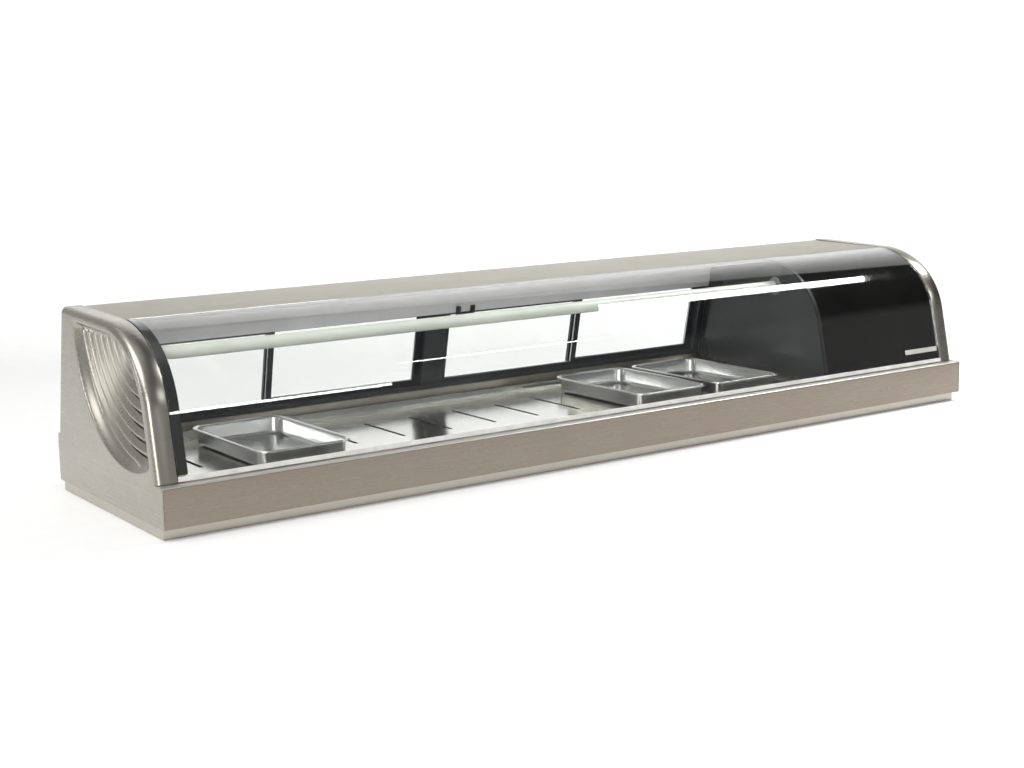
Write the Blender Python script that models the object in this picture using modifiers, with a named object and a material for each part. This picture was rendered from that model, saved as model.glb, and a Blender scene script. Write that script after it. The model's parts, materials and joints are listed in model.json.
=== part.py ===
"""Countertop refrigerated deli case: curved front glass, sliding rear doors and a machine room.

Metres. X runs along the case, -Y faces the customer and +Z is up. The origin is the middle of the
base, on the counter. Cross-sections are lists of (y, z) points, because most pieces run along X.
"""

import math

import bmesh
import bpy
from mathutils import Matrix, Vector

# ---------------------------------------------------------------- driving dimensions
LENGTH = 1.500
DEPTH = 0.371
HEIGHT = 0.270
HALF = LENGTH / 2
FRONT = -DEPTH / 2
REAR = DEPTH / 2

GAP = 0.0004            # clearance between pieces that rest on each other
SHEET = 0.0015          # folded stainless sheet
SKIN = 0.0018           # pressed end panels
PLINTH_HEIGHT = 0.015
PLINTH_SETBACK = 0.012
LEDGE_Z = 0.069         # top of the front apron
LEDGE_DEPTH = 0.0255

# Curved front: a leaning flat, then two arcs that meet without a kink. Angles are slopes in degrees.
GLASS_FOOT_Y = -0.1685
FLAT_LEAN = 78.45
FLAT_LENGTH = 0.095
LOWER_RADIUS = 0.1223
LOWER_END = 30.0
UPPER_RADIUS = 0.1627
UPPER_END = 5.1
GLASS = 0.004

# Rear: a plane that leans inwards from the top of the base.
REAR_FOOT_Z = 0.084
REAR_FOOT_Y = 0.1835
REAR_LEAN = 12.13
CORNER_RADIUS = 0.010

FLANGE = 0.030          # width of an end panel's front flange
BAY_END = HALF - FLANGE - 0.0006
DISPLAY_LEFT = -0.703
DISPLAY_RIGHT = 0.440
WALL = 0.004

TANK_FLOOR = 0.0400
TANK_TOP = 0.067
TANK_FRONT = -0.158
TANK_BACK = 0.150
DECK_TOP = 0.0595

DRAIN = (0.412, 0.120)
DRAIN_RADIUS = 0.006

# Serpentine tube under the cold plate: the y of each run and the x of its turns and its exit.
PLATE_TUBE_RADIUS = 0.0032
PLATE_TUBE_Z = TANK_FLOOR + SHEET + GAP + PLATE_TUBE_RADIUS
PLATE_RUNS = (-0.105, -0.063, -0.021, 0.021, 0.063, 0.105)
PLATE_LEFT = -0.660
PLATE_RIGHT = 0.350
TUBE_EXIT = 0.4520

TRAY_SIZE = (0.145, 0.230, 0.025)
TRAY_CENTRES = (-0.520, 0.130, 0.290)
TRAY_Y = -0.025

COVER_FRONT = -0.0197
COVER_FRONT_Z = 0.2640
COVER_BACK_Z = 0.2684
SKIRT_BOTTOM = 0.128    # up the rear plane
CEILING_FRONT = -0.0165
CEILING_Z = 0.2560
HEADER_DEPTH = 0.0270
HEADER_BOTTOM = 0.1315  # up the rear plane

PIPE_RADIUS = 0.00975
PIPE_Y = -0.040
PIPE_Z = 0.2163
PIPE_BEND = 0.030
PIPE_TURN_X = -0.652

# Sliding doors, in the leaning rear plane: (up, depth) from its foot.
TRACK_FRONT = 0.0250
TRACK_BACK = 0.0020
TRACK_RIB = 0.0012
DOOR_THICK = 0.0070
DOOR_DEPTHS = (0.0047, 0.0153)
DOOR_BOTTOM = 0.0038
DOOR_TOP = 0.1365
DOOR_WIDTH = 0.277
STILE = 0.009
RAIL = 0.010
MULLION = (-0.1570, -0.1200)
OPENING_RIGHT = 0.4257

# Machine room. Places are (x, y) on its floor, or x and a distance up the rear plane.
MACHINE_LEFT = DISPLAY_RIGHT + WALL + 0.0015
ROOM_FLOOR = PLINTH_HEIGHT + SHEET + 3 * GAP
COMPRESSOR = (0.520, 0.070)
DRIER = (0.615, 0.112)
FAN_Z = 0.087
FAN_X = 0.655
CONTROL_UP = 0.108
KNOB_X = 0.680
SWITCH_X = 0.640
SWITCH_PIVOT_DEPTH = 0.0015
SWITCH_TILT = 6.0
GLAND_X = 0.600
GLAND_UP = 0.030

# ---------------------------------------------------------------- scene and materials


def clear_scene():
    for old in list(bpy.data.objects):
        bpy.data.objects.remove(old, do_unlink=True)


clear_scene()
PARTS = bpy.data.collections.new("refrigerated_deli_case")
CUTTERS = bpy.data.collections.new("cutters")
bpy.context.scene.collection.children.link(PARTS)
bpy.context.scene.collection.children.link(CUTTERS)


def make_material(name, colour, roughness, metallic, alpha=1.0):
    material = bpy.data.materials.new(name)
    material.use_nodes = True
    shader = material.node_tree.nodes["Principled BSDF"]
    shader.inputs["Base Color"].default_value = (*colour, 1.0)
    shader.inputs["Roughness"].default_value = roughness
    shader.inputs["Metallic"].default_value = metallic
    shader.inputs["Alpha"].default_value = alpha
    return material


STEEL = make_material("brushed_stainless", (0.52, 0.48, 0.42), 0.32, 1.0)
POLISHED = make_material("polished_stainless", (0.66, 0.63, 0.58), 0.16, 1.0)
GALVANISED = make_material("galvanised_steel", (0.45, 0.46, 0.47), 0.45, 1.0)
ALUMINIUM = make_material("evaporator_aluminium", (0.70, 0.71, 0.72), 0.35, 1.0)
COPPER = make_material("copper_tube", (0.62, 0.30, 0.18), 0.3, 1.0)
CLEAR = make_material("clear_glass", (0.90, 0.96, 0.94), 0.02, 0.0, 0.2)
ACRYLIC = make_material("door_acrylic", (0.92, 0.95, 0.95), 0.05, 0.0, 0.2)
BLACK_GLOSS = make_material("black_gloss", (0.012, 0.011, 0.012), 0.08, 0.0)
BLACK_PLASTIC = make_material("black_plastic", (0.02, 0.02, 0.022), 0.4, 0.0)
RUBBER = make_material("black_seal", (0.012, 0.012, 0.012), 0.55, 0.0)
GREY_SEAL = make_material("grey_seal", (0.30, 0.30, 0.28), 0.5, 0.0)
LINER = make_material("pale_liner", (0.58, 0.56, 0.58), 0.4, 0.0)
COATED_PIPE = make_material("coated_pipe", (0.62, 0.68, 0.60), 0.3, 0.0)
FOAM = make_material("insulation_foam", (0.75, 0.66, 0.42), 0.9, 0.0)
BLACK_PAINT = make_material("black_paint", (0.02, 0.02, 0.02), 0.35, 0.0)
WHITE_PLASTIC = make_material("white_plastic", (0.75, 0.75, 0.73), 0.4, 0.0)


# ---------------------------------------------------------------- modelling helpers


def add_object(name, data, material, collection=PARTS):
    piece = bpy.data.objects.new(name, data)
    collection.objects.link(piece)
    if material is not None:
        data.materials.append(material)
    if collection is CUTTERS:
        piece.hide_render = True
        piece.display_type = "WIRE"
    return piece


def mesh_object(name, shape, material, collection=PARTS):
    """Turns a finished bmesh into an object."""
    bmesh.ops.recalc_face_normals(shape, faces=shape.faces)
    mesh = bpy.data.meshes.new(name)
    shape.to_mesh(mesh)
    shape.free()
    return add_object(name, mesh, material, collection)


def box(name, low, high, material, collection=PARTS):
    """A block between two corners."""
    size = Vector(high) - Vector(low)
    middle = (Vector(high) + Vector(low)) / 2
    shape = bmesh.new()
    bmesh.ops.create_cube(shape, size=1.0, matrix=Matrix.Diagonal((*size, 1.0)))
    piece = mesh_object(name, shape, material, collection)
    piece.location = middle
    return piece


def cylinder(name, radius, length, centre, axis, material, collection=PARTS, sides=32):
    """A round bar along axis, with its middle at centre."""
    shape = bmesh.new()
    bmesh.ops.create_cone(
        shape, cap_ends=True, segments=sides, radius1=radius, radius2=radius, depth=length
    )
    piece = mesh_object(name, shape, material, collection)
    piece.data.shade_smooth()
    piece.data.set_sharp_from_angle(angle=math.radians(40))
    piece.rotation_mode = "QUATERNION"
    piece.rotation_quaternion = Vector((0, 0, 1)).rotation_difference(Vector(axis))
    piece.location = centre
    return piece


def mesh_from_curve(piece):
    """Replaces a curve object by its mesh, with the loose caps welded on."""
    bpy.context.view_layer.update()
    graph = bpy.context.evaluated_depsgraph_get()
    mesh = bpy.data.meshes.new_from_object(piece.evaluated_get(graph))
    shape = bmesh.new()
    shape.from_mesh(mesh)
    bmesh.ops.remove_doubles(shape, verts=shape.verts, dist=0.00001)
    bmesh.ops.dissolve_limit(
        shape, angle_limit=math.radians(0.2), verts=shape.verts, edges=shape.edges
    )
    bmesh.ops.recalc_face_normals(shape, faces=shape.faces)
    shape.to_mesh(mesh)
    shape.free()
    solid = bpy.data.objects.new("solid", mesh)
    solid.matrix_world = piece.matrix_world
    name = piece.name
    for collection in piece.users_collection:
        collection.objects.link(solid)
    solid.hide_render = piece.hide_render
    solid.display_type = piece.display_type
    bpy.data.objects.remove(piece, do_unlink=True)
    solid.name = name
    return solid


def prism(name, outline, left, right, material, collection=PARTS):
    """A closed (y, z) outline carried along X from left to right."""
    curve = bpy.data.curves.new(name, "CURVE")
    curve.dimensions = "2D"
    curve.fill_mode = "BOTH"
    curve.extrude = (right - left) / 2
    spline = curve.splines.new("POLY")
    spline.points.add(len(outline) - 1)
    for point, (y, z) in zip(spline.points, outline):
        point.co = (y, z, 0.0, 1.0)
    spline.use_cyclic_u = True
    piece = add_object(name, curve, material, collection)
    across = Matrix(((0, 0, 1), (1, 0, 0), (0, 1, 0))).to_4x4()
    piece.matrix_world = Matrix.Translation(((left + right) / 2, 0, 0)) @ across
    return mesh_from_curve(piece)


def sheet(name, path, thickness, left, right, material):
    """An open (y, z) path carried along X and thickened evenly to both sides."""
    shape = bmesh.new()
    line = [shape.verts.new((left, y, z)) for y, z in path]
    edges = [shape.edges.new(pair) for pair in zip(line, line[1:])]
    carried = bmesh.ops.extrude_edge_only(shape, edges=edges)["geom"]
    moved = [part for part in carried if isinstance(part, bmesh.types.BMVert)]
    bmesh.ops.translate(shape, verts=moved, vec=(right - left, 0, 0))
    piece = mesh_object(name, shape, material)
    solidify = piece.modifiers.new("thickness", "SOLIDIFY")
    solidify.thickness = thickness
    solidify.offset = 0.0
    solidify.use_even_offset = True
    piece.data.shade_smooth()
    piece.data.set_sharp_from_angle(angle=math.radians(25))
    return piece


def tube(name, points, radius, material, sides=3):
    """A round tube or wire along points."""
    curve = bpy.data.curves.new(name, "CURVE")
    curve.dimensions = "3D"
    curve.bevel_depth = radius
    curve.bevel_resolution = sides
    curve.use_fill_caps = True
    spline = curve.splines.new("POLY")
    spline.points.add(len(points) - 1)
    for point, place in zip(spline.points, points):
        point.co = (*place, 1.0)
    spline.use_smooth = True
    return add_object(name, curve, material)


def turned(name, profile, centre, axis, material, sides=28):
    """A profile of (radius, height) points turned about axis. It closes on itself or on the axis."""
    shape = bmesh.new()
    line = [shape.verts.new((radius, 0, height)) for radius, height in profile]
    for pair in zip(line, line[1:]):
        shape.edges.new(pair)
    mesh = bpy.data.meshes.new(name)
    shape.to_mesh(mesh)
    shape.free()
    piece = add_object(name, mesh, material)
    screw = piece.modifiers.new("turn", "SCREW")
    screw.steps = sides
    screw.render_steps = sides
    screw.use_merge_vertices = True
    screw.merge_threshold = 0.00001
    screw.use_smooth_shade = True
    piece.rotation_mode = "QUATERNION"
    piece.rotation_quaternion = Vector((0, 0, 1)).rotation_difference(Vector(axis))
    piece.location = centre
    return piece


def cut(piece, cutter, operation="DIFFERENCE", solver="EXACT"):
    boolean = piece.modifiers.new(cutter.name, "BOOLEAN")
    boolean.operation = operation
    boolean.object = cutter
    boolean.solver = solver


def round_edges(piece, width, segments):
    bevel = piece.modifiers.new("rounded", "BEVEL")
    bevel.width = width
    bevel.segments = segments
    bevel.limit_method = "ANGLE"
    bevel.angle_limit = math.radians(40)


# ---------------------------------------------------------------- section geometry


def front_profile(inset=0.0, start=0.0):
    """(y, z) up the curved front, moved inwards by inset, from start along its flat."""
    heading = math.radians(FLAT_LEAN)
    up = Vector((math.cos(heading), math.sin(heading)))
    inwards = Vector((up.y, -up.x))
    foot = Vector((GLASS_FOOT_Y, LEDGE_Z))
    points = [foot + up * start + inwards * inset]
    corner = foot + up * FLAT_LENGTH
    for radius, end, steps in ((LOWER_RADIUS, LOWER_END, 12), (UPPER_RADIUS, UPPER_END, 6)):
        centre = corner + radius * Vector((math.sin(heading), -math.cos(heading)))
        finish = math.radians(end)
        for step in range(steps + 1):
            angle = heading + (finish - heading) * step / steps
            arm = Vector((-math.sin(angle), math.cos(angle)))
            if step or end == LOWER_END:
                points.append(centre + (radius - inset) * arm)
        corner = centre + radius * arm
        heading = finish
    return [tuple(point) for point in points]


def front_start(z, inset):
    """The distance up the flat at which a line moved inwards by inset reaches height z."""
    lean = math.radians(FLAT_LEAN)
    return (z - LEDGE_Z + inset * math.cos(lean)) / math.sin(lean)


def flat_point(up, inset):
    """(y, z) at a distance up the leaning flat of the front and a distance behind its face."""
    heading = math.radians(FLAT_LEAN)
    y = GLASS_FOOT_Y + up * math.cos(heading) + inset * math.sin(heading)
    z = LEDGE_Z + up * math.sin(heading) - inset * math.cos(heading)
    return y, z


def rear_point(up, depth):
    """(y, z) at a distance up the leaning rear plane and a depth behind it, towards the front."""
    lean = math.radians(REAR_LEAN)
    y = REAR_FOOT_Y - up * math.sin(lean) - depth * math.cos(lean)
    z = REAR_FOOT_Z + up * math.cos(lean) - depth * math.sin(lean)
    return y, z


def rear_block(low, high, back, front):
    """The outline of a bar in the rear plane, between two heights up it and two depths behind it."""
    return [
        rear_point(low, back),
        rear_point(high, back),
        rear_point(high, front),
        rear_point(low, front),
    ]


def rear_height(z, depth):
    """The distance up the rear plane at which a line at this depth reaches height z."""
    lean = math.radians(REAR_LEAN)
    return (z - REAR_FOOT_Z + depth * math.sin(lean)) / math.cos(lean)


def rear_at(z, depth=0.0):
    return rear_point(rear_height(z, depth), depth)


def rounded(before, corner, after, radius, steps=4):
    """The arc that rounds a corner between two neighbours."""
    corner = Vector(corner)
    one = (Vector(before) - corner).normalized()
    two = (Vector(after) - corner).normalized()
    half = one.angle(two) / 2
    centre = corner + (one + two).normalized() * radius / math.sin(half)
    start = corner + one * radius / math.tan(half) - centre
    end = corner + two * radius / math.tan(half) - centre
    sweep = math.atan2(start.x * end.y - start.y * end.x, start.dot(end))
    points = []
    for step in range(steps + 1):
        turn = Matrix.Rotation(sweep * step / steps, 2)
        points.append(tuple(centre + turn @ start))
    return points


def inset_path(path, distance):
    """Moves an open path sideways, to its right, with mitred corners."""
    points = [Vector(point) for point in path]
    runs = [(b - a).normalized() for a, b in zip(points, points[1:])]
    sides = [Vector((run.y, -run.x)) for run in runs]
    moved = []
    for index, point in enumerate(points):
        before = sides[max(index - 1, 0)]
        after = sides[min(index, len(sides) - 1)]
        moved.append(tuple(point + (before + after) * distance / (1 + before.dot(after))))
    return moved


# ---------------------------------------------------------------- base


def front_apron():
    low = PLINTH_HEIGHT + GAP
    back = FRONT + LEDGE_DEPTH
    face = [(FRONT, low), (FRONT, LEDGE_Z), (back, LEDGE_Z), (back, LEDGE_Z - 0.009)]
    middle = inset_path(face, SHEET / 2)
    edge = HALF - SKIN - GAP
    sheet("front_apron", middle, SHEET, -edge, edge, STEEL)


def plinth_frame():
    left, right = -HALF + 0.004, HALF - 0.004
    front, back = FRONT + PLINTH_SETBACK, REAR - 0.004
    bar = 0.014
    frame = box("plinth_frame", (left, front, 0), (right, back, PLINTH_HEIGHT), STEEL)
    inside = box(
        "plinth_inside",
        (left + bar, front + bar, -0.01),
        (right - bar, back - bar, 0.03),
        None,
        CUTTERS,
    )
    cut(frame, inside)


def base_pan():
    low = PLINTH_HEIGHT + GAP
    edge = HALF - SKIN - 2 * GAP
    reach = REAR - SHEET - 2 * GAP
    pan = box("base_pan", (-edge, -reach, low), (edge, reach, low + SHEET), GALVANISED)
    cut(pan, drain_bore)


def insulation_tub():
    """The foam under and around the tank, open to the partition on its right."""
    low = PLINTH_HEIGHT + GAP + SHEET + GAP
    edge = HALF - SKIN - 2 * GAP
    reach = REAR - SHEET - 2 * GAP
    top = LEDGE_Z - 0.0100
    right = DISPLAY_RIGHT - GAP
    foam = box("insulation_tub", (-edge, -reach, low), (right, reach, top), FOAM)
    pocket = box(
        "tank_pocket",
        (DISPLAY_LEFT - 2 * GAP, TANK_FRONT - 2 * GAP, TANK_FLOOR - GAP),
        (right + 0.01, TANK_BACK + 2 * GAP, top + 0.01),
        None,
        CUTTERS,
    )
    cut(foam, pocket)
    cut(foam, drain_bore)


def inner_tank():
    low = (DISPLAY_LEFT, TANK_FRONT, TANK_FLOOR)
    high = (DISPLAY_RIGHT - 2 * GAP, TANK_BACK, TANK_TOP)
    tank = box("inner_tank", low, high, POLISHED)
    hollow = box(
        "tank_hollow",
        [value + SHEET for value in low],
        (high[0] - SHEET, high[1] - SHEET, TANK_TOP + 0.02),
        None,
        CUTTERS,
    )
    cut(tank, hollow)
    cut(tank, drain_bore)
    for bore in plate_tube_bores:
        cut(tank, bore)


def drain_spout():
    """A flanged tube that hangs through the tank floor, the foam and the base pan."""
    floor = TANK_FLOOR + SHEET + GAP
    foot = PLINTH_HEIGHT + GAP
    outer = DRAIN_RADIUS
    inner = DRAIN_RADIUS - 0.0015
    lip = 0.010
    profile = [
        (inner, floor + 0.0015),
        (lip, floor + 0.0015),
        (lip, floor),
        (outer, floor),
        (outer, foot),
        (inner, foot),
        (inner, floor + 0.0015),
    ]
    turned("drain_spout", profile, (*DRAIN, 0), (0, 0, 1), WHITE_PLASTIC, 20)


def rear_base_panel():
    """The rear skirt of the base, with the sill that the lower door track stands on."""
    sill = rear_point(0.0, 0.0265)
    face = [
        (sill[0], TANK_TOP - 0.003),
        sill,
        (REAR_FOOT_Y, REAR_FOOT_Z),
        (REAR, 0.070),
        (REAR, PLINTH_HEIGHT + GAP),
    ]
    middle = inset_path(face, SHEET / 2)
    edge = HALF - SKIN - GAP
    sheet("rear_base_panel", middle, SHEET, -edge, edge, STEEL)


# ---------------------------------------------------------------- ends


def pan_ring(inset):
    """The rim of an end panel in section: up the front, over the top and down the rear plane."""
    front = front_profile(inset, front_start(LEDGE_Z + 0.0009, inset))
    peak = rear_at(HEIGHT - inset, inset)
    low_end = rear_point(0.0012, inset)
    return front + rounded(front[-1], peak, low_end, CORNER_RADIUS - inset) + [low_end]


def end_panel(side):
    """A pressed pan: a flat skin, a rounded shoulder and a flange round the front, top and rear."""
    floor = PLINTH_HEIGHT + GAP
    shoulder = 0.009
    steps = 4
    stations = []
    for step in range(steps + 1):
        angle = math.pi / 2 * step / steps
        x = HALF - shoulder + shoulder * math.cos(angle)
        stations.append((x, shoulder - shoulder * math.sin(angle)))
    stations.append((HALF - FLANGE, 0.0))

    shape = bmesh.new()
    rings = []
    for x, inset in stations:
        rings.append([shape.verts.new((side * x, y, z)) for y, z in pan_ring(inset)])
    for outer, inner in zip(rings, rings[1:]):
        for a, b, c, d in zip(outer, outer[1:], inner[1:], inner):
            shape.faces.new((a, b, c, d))
    foot = [(REAR_FOOT_Y, REAR_FOOT_Z), (REAR, 0.070), (REAR, floor), (FRONT, floor), (FRONT, LEDGE_Z)]
    shape.faces.new(rings[0] + [shape.verts.new((side * HALF, y, z)) for y, z in foot])
    name = "end_panel_right" if side > 0 else "end_panel_left"
    panel = mesh_object(name, shape, STEEL)
    if panel.data.polygons[-1].normal.x * side < 0:
        panel.data.flip_normals()
    solidify = panel.modifiers.new("thickness", "SOLIDIFY")
    solidify.thickness = SKIN
    solidify.offset = -1.0
    solidify.use_even_offset = True
    panel.data.shade_smooth()
    panel.data.set_sharp_from_angle(angle=math.radians(40))
    for slot in vent_slots(name, side):
        cut(panel, slot)


def vent_slots(name, side):
    """Six louvre slots at the lower front of an end panel, on arcs round one centre."""
    count, steps = 6, 6
    centre = Vector((-0.125, 0.300))
    first_radius, pitch = 0.113, 0.0181
    half_width = 0.0011
    face = side * (HALF + 0.004)
    inside = side * (HALF - 0.012)
    slots = []
    for index in range(count):
        drop = index / (count - 1)
        radius = first_radius + pitch * index
        rear_end = math.radians(59 + 13 * drop)
        front_end = math.radians(96 - 15 * (1 - drop) ** 3)
        outline = []
        for reach in (radius - half_width, radius + half_width):
            for step in range(steps + 1):
                angle = rear_end + (front_end - rear_end) * step / steps
                outline.append(tuple(centre + reach * Vector((math.cos(angle), -math.sin(angle)))))
        outline = outline[: steps + 1] + list(reversed(outline[steps + 1 :]))
        ends = (min(face, inside), max(face, inside))
        slots.append(prism(f"{name}_slot_{index + 1}", outline, *ends, None, CUTTERS))
    return slots


def section_outline(front_inset, top_drop, rear_depth, floor):
    """The inside of the case in section, from a level floor up, stepped in behind the top seal."""
    front = front_profile(front_inset, front_start(floor, front_inset))
    below_seal = COVER_FRONT_Z - 0.0090
    back = rear_at(HEIGHT - top_drop, rear_depth)
    keep = [point for point in front if point[1] < below_seal]
    step = [(CEILING_FRONT, below_seal), (CEILING_FRONT, back[1] - 0.0045)]
    return keep + step + [back, rear_at(floor, rear_depth)]


def side_liner():
    outline = section_outline(0.0104, 0.0095, 0.0310, 0.0700)
    prism("side_liner", outline, DISPLAY_LEFT - 0.002, DISPLAY_LEFT, LINER)


def side_insulation():
    outline = section_outline(0.0104, 0.0095, 0.0310, 0.0700)
    prism(
        "side_insulation",
        outline,
        -HALF + FLANGE + 0.001,
        DISPLAY_LEFT - 0.002 - GAP,
        FOAM,
    )


# ---------------------------------------------------------------- top


def top_cover():
    """One folded sheet: a short front hem, the top, a rounded corner and the rear skirt."""
    back = rear_at(COVER_BACK_Z)
    skirt_end = rear_point(SKIRT_BOTTOM, 0.0)
    top_front = (COVER_FRONT, COVER_FRONT_Z)
    face = [(COVER_FRONT, COVER_FRONT_Z - 0.0065), top_front]
    face += rounded(top_front, back, skirt_end, CORNER_RADIUS)
    face.append(skirt_end)
    sheet("top_cover", inset_path(face, SHEET / 2), SHEET, -BAY_END, BAY_END, STEEL)


def ceiling_panel():
    """The pale inner lining: the ceiling, then the header down to the doors, with a stiffening step."""
    step_at = HEADER_BOTTOM + 0.018
    face = [
        (CEILING_FRONT, CEILING_Z),
        rear_at(CEILING_Z + 0.003, HEADER_DEPTH - 0.0020),
        rear_point(step_at + 0.002, HEADER_DEPTH - 0.0020),
        rear_point(step_at, HEADER_DEPTH),
        rear_point(HEADER_BOTTOM, HEADER_DEPTH),
    ]
    sheet(
        "ceiling_panel",
        inset_path(face, -0.0006),
        0.0012,
        DISPLAY_LEFT + GAP,
        DISPLAY_RIGHT - GAP,
        LINER,
    )


def header_insulation():
    low, high = 0.1430, 0.1790
    shallow, deep = 0.0022, 0.0232
    outline = rear_block(low, high, shallow, deep)
    prism("header_insulation", outline, DISPLAY_LEFT + GAP, DISPLAY_RIGHT - GAP, FOAM)


# ---------------------------------------------------------------- front


def front_glass():
    path = front_profile(GLASS / 2, 0.0034)
    sheet("front_glass", path, GLASS, -BAY_END, BAY_END, CLEAR)


def glass_channel():
    """A small U profile that the lower edge of the glass stands in."""
    base, web, top = 0.0016, 0.0030, 0.0080
    lip = 0.0010
    clear = 0.0003
    outer = [(base, -clear - lip), (top, -clear - lip), (top, -clear), (web, -clear)]
    inner = [(web, GLASS + clear), (top, GLASS + clear), (top, GLASS + clear + lip)]
    inner.append((base, GLASS + clear + lip))
    outline = [flat_point(up, inset) for up, inset in outer + inner]
    prism("glass_channel", outline, -BAY_END, BAY_END, GREY_SEAL)


def glass_seal_left():
    inset = GLASS + 0.0033
    path = front_profile(inset, 0.0100)
    sheet("glass_seal_left", path, 0.0060, -BAY_END, DISPLAY_LEFT - 0.0004, RUBBER)


def glass_seal_top():
    """The black line between the glass and the hem of the top cover."""
    low, high = COVER_FRONT_Z - 0.0068, COVER_FRONT_Z + 0.0003
    near = front_profile()[-1][0] + 0.0012
    far = COVER_FRONT - GAP
    outline = [(near, high), (near, low), (far, low), (far, high)]
    prism("glass_seal_top", outline, -BAY_END, BAY_END, RUBBER)


def machine_cover():
    """The black gloss panel that closes the machine room behind the glass."""
    path = front_profile(GLASS + 0.0004 + SHEET / 2, 0.0100)
    sheet("machine_cover", path, SHEET, MACHINE_LEFT, BAY_END, BLACK_GLOSS)


def name_plate():
    low, high = 0.0215, 0.0295
    face, back = -0.0013, -0.0003
    outline = [
        flat_point(low, face),
        flat_point(high, face),
        flat_point(high, back),
        flat_point(low, back),
    ]
    left, right = 0.633, 0.713
    prism("name_plate", outline, left, right, POLISHED)


# ---------------------------------------------------------------- inside


def partition_wall():
    """The wall between the display and the machine room, with a tongue down to the base pan."""
    floor = PLINTH_HEIGHT + SHEET + 3 * GAP
    upper = section_outline(GLASS + 0.0030, 0.0060, HEADER_DEPTH - 0.0015, LEDGE_Z + 0.011)
    tongue = [
        (TANK_BACK + 0.0045, upper[-1][1]),
        (TANK_BACK + 0.0045, floor),
        (TANK_FRONT + 0.001, floor),
        (TANK_FRONT + 0.001, upper[0][1]),
    ]
    wall = prism("partition_wall", upper + tongue, DISPLAY_RIGHT, DISPLAY_RIGHT + WALL, BLACK_PAINT)
    for bore in plate_tube_bores + [pipe_bore]:
        cut(wall, bore, solver="MANIFOLD")


def partition_seal():
    inset = GLASS + 0.0004 + 0.0011
    path = front_profile(inset, 0.0100)
    sheet("partition_seal", path, 0.0022, DISPLAY_RIGHT - 0.002, MACHINE_LEFT - 0.0004, GREY_SEAL)


def cooling_pipe():
    """The upper cooling pipe: along the case, round a bend and back into the header."""
    points = [(0.470, PIPE_Y, PIPE_Z), (PIPE_TURN_X, PIPE_Y, PIPE_Z)]
    steps = 8
    for step in range(1, steps + 1):
        angle = math.pi / 2 * step / steps
        x = PIPE_TURN_X - PIPE_BEND * math.sin(angle)
        y = PIPE_Y + PIPE_BEND * (1 - math.cos(angle))
        points.append((x, y, PIPE_Z))
    end = rear_at(PIPE_Z, HEADER_DEPTH)[0] - 0.0045
    points.append((PIPE_TURN_X - PIPE_BEND, end, PIPE_Z))
    tube("cooling_pipe", points, PIPE_RADIUS, COATED_PIPE, 3)


def door_stop_bracket():
    """A U-shaped stop on the header beside the mullion: a low bar with two tabs."""
    left, right = -0.1050, -0.0700
    face, back = HEADER_DEPTH + 0.0045, HEADER_DEPTH + 0.0004
    low, bar_top, tab_top = HEADER_BOTTOM - 0.0060, HEADER_BOTTOM + 0.0005, HEADER_BOTTOM + 0.0100
    outline = rear_block(low, tab_top, back, face)
    bracket = prism("door_stop_bracket", outline, left, right, BLACK_PLASTIC)
    tab = 0.0075
    notch_outline = rear_block(bar_top, tab_top + 0.01, back - 0.01, face + 0.01)
    notch = prism("stop_notch", notch_outline, left + tab, right - tab, None, CUTTERS)
    cut(bracket, notch)


def cold_plate():
    low = PLATE_TUBE_Z + PLATE_TUBE_RADIUS + GAP
    box("cold_plate", (-0.688, -0.138, low), (0.386, 0.138, low + SHEET), ALUMINIUM)


def cold_plate_tube():
    """A serpentine under the cold plate, whose two ends leave through the partition."""
    points = [(TUBE_EXIT, PLATE_RUNS[0], PLATE_TUBE_Z)]
    heading_left = True
    for near, far in zip(PLATE_RUNS, PLATE_RUNS[1:]):
        turn_x = PLATE_LEFT if heading_left else PLATE_RIGHT
        outwards = -1 if heading_left else 1
        bend = (far - near) / 2
        for step in range(7):
            angle = math.pi * step / 6
            x = turn_x + outwards * bend * math.sin(angle)
            y = (near + far) / 2 - bend * math.cos(angle)
            points.append((x, y, PLATE_TUBE_Z))
        heading_left = not heading_left
    points.append((TUBE_EXIT, PLATE_RUNS[-1], PLATE_TUBE_Z))
    tube("cold_plate_tube", points, PLATE_TUBE_RADIUS, COPPER, 2)


def display_deck():
    """A slotted steel deck, folded down all round to stand on the tank floor."""
    margin = 0.0015 + SHEET
    low = (DISPLAY_LEFT + margin, TANK_FRONT + margin, TANK_FLOOR + SHEET + GAP)
    high = (DISPLAY_RIGHT - margin - 2 * GAP, TANK_BACK - margin, DECK_TOP)
    deck = box("display_deck", low, high, POLISHED)
    hollow = box(
        "deck_hollow",
        (low[0] + SHEET, low[1] + SHEET, low[2] - 0.01),
        (high[0] - SHEET, high[1] - SHEET, DECK_TOP - SHEET),
        None,
        CUTTERS,
    )
    cut(deck, hollow)
    for bore in plate_tube_bores:
        cut(deck, bore)
    first, pitch, count = -0.640, 0.0800, 13
    for index in range(count):
        middle = first + pitch * index
        slot = box(
            f"deck_slot_{index + 1}",
            (middle - 0.003, -0.060, DECK_TOP - 0.01),
            (middle + 0.003, 0.060, DECK_TOP + 0.01),
            None,
            CUTTERS,
        )
        cut(deck, slot)


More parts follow.
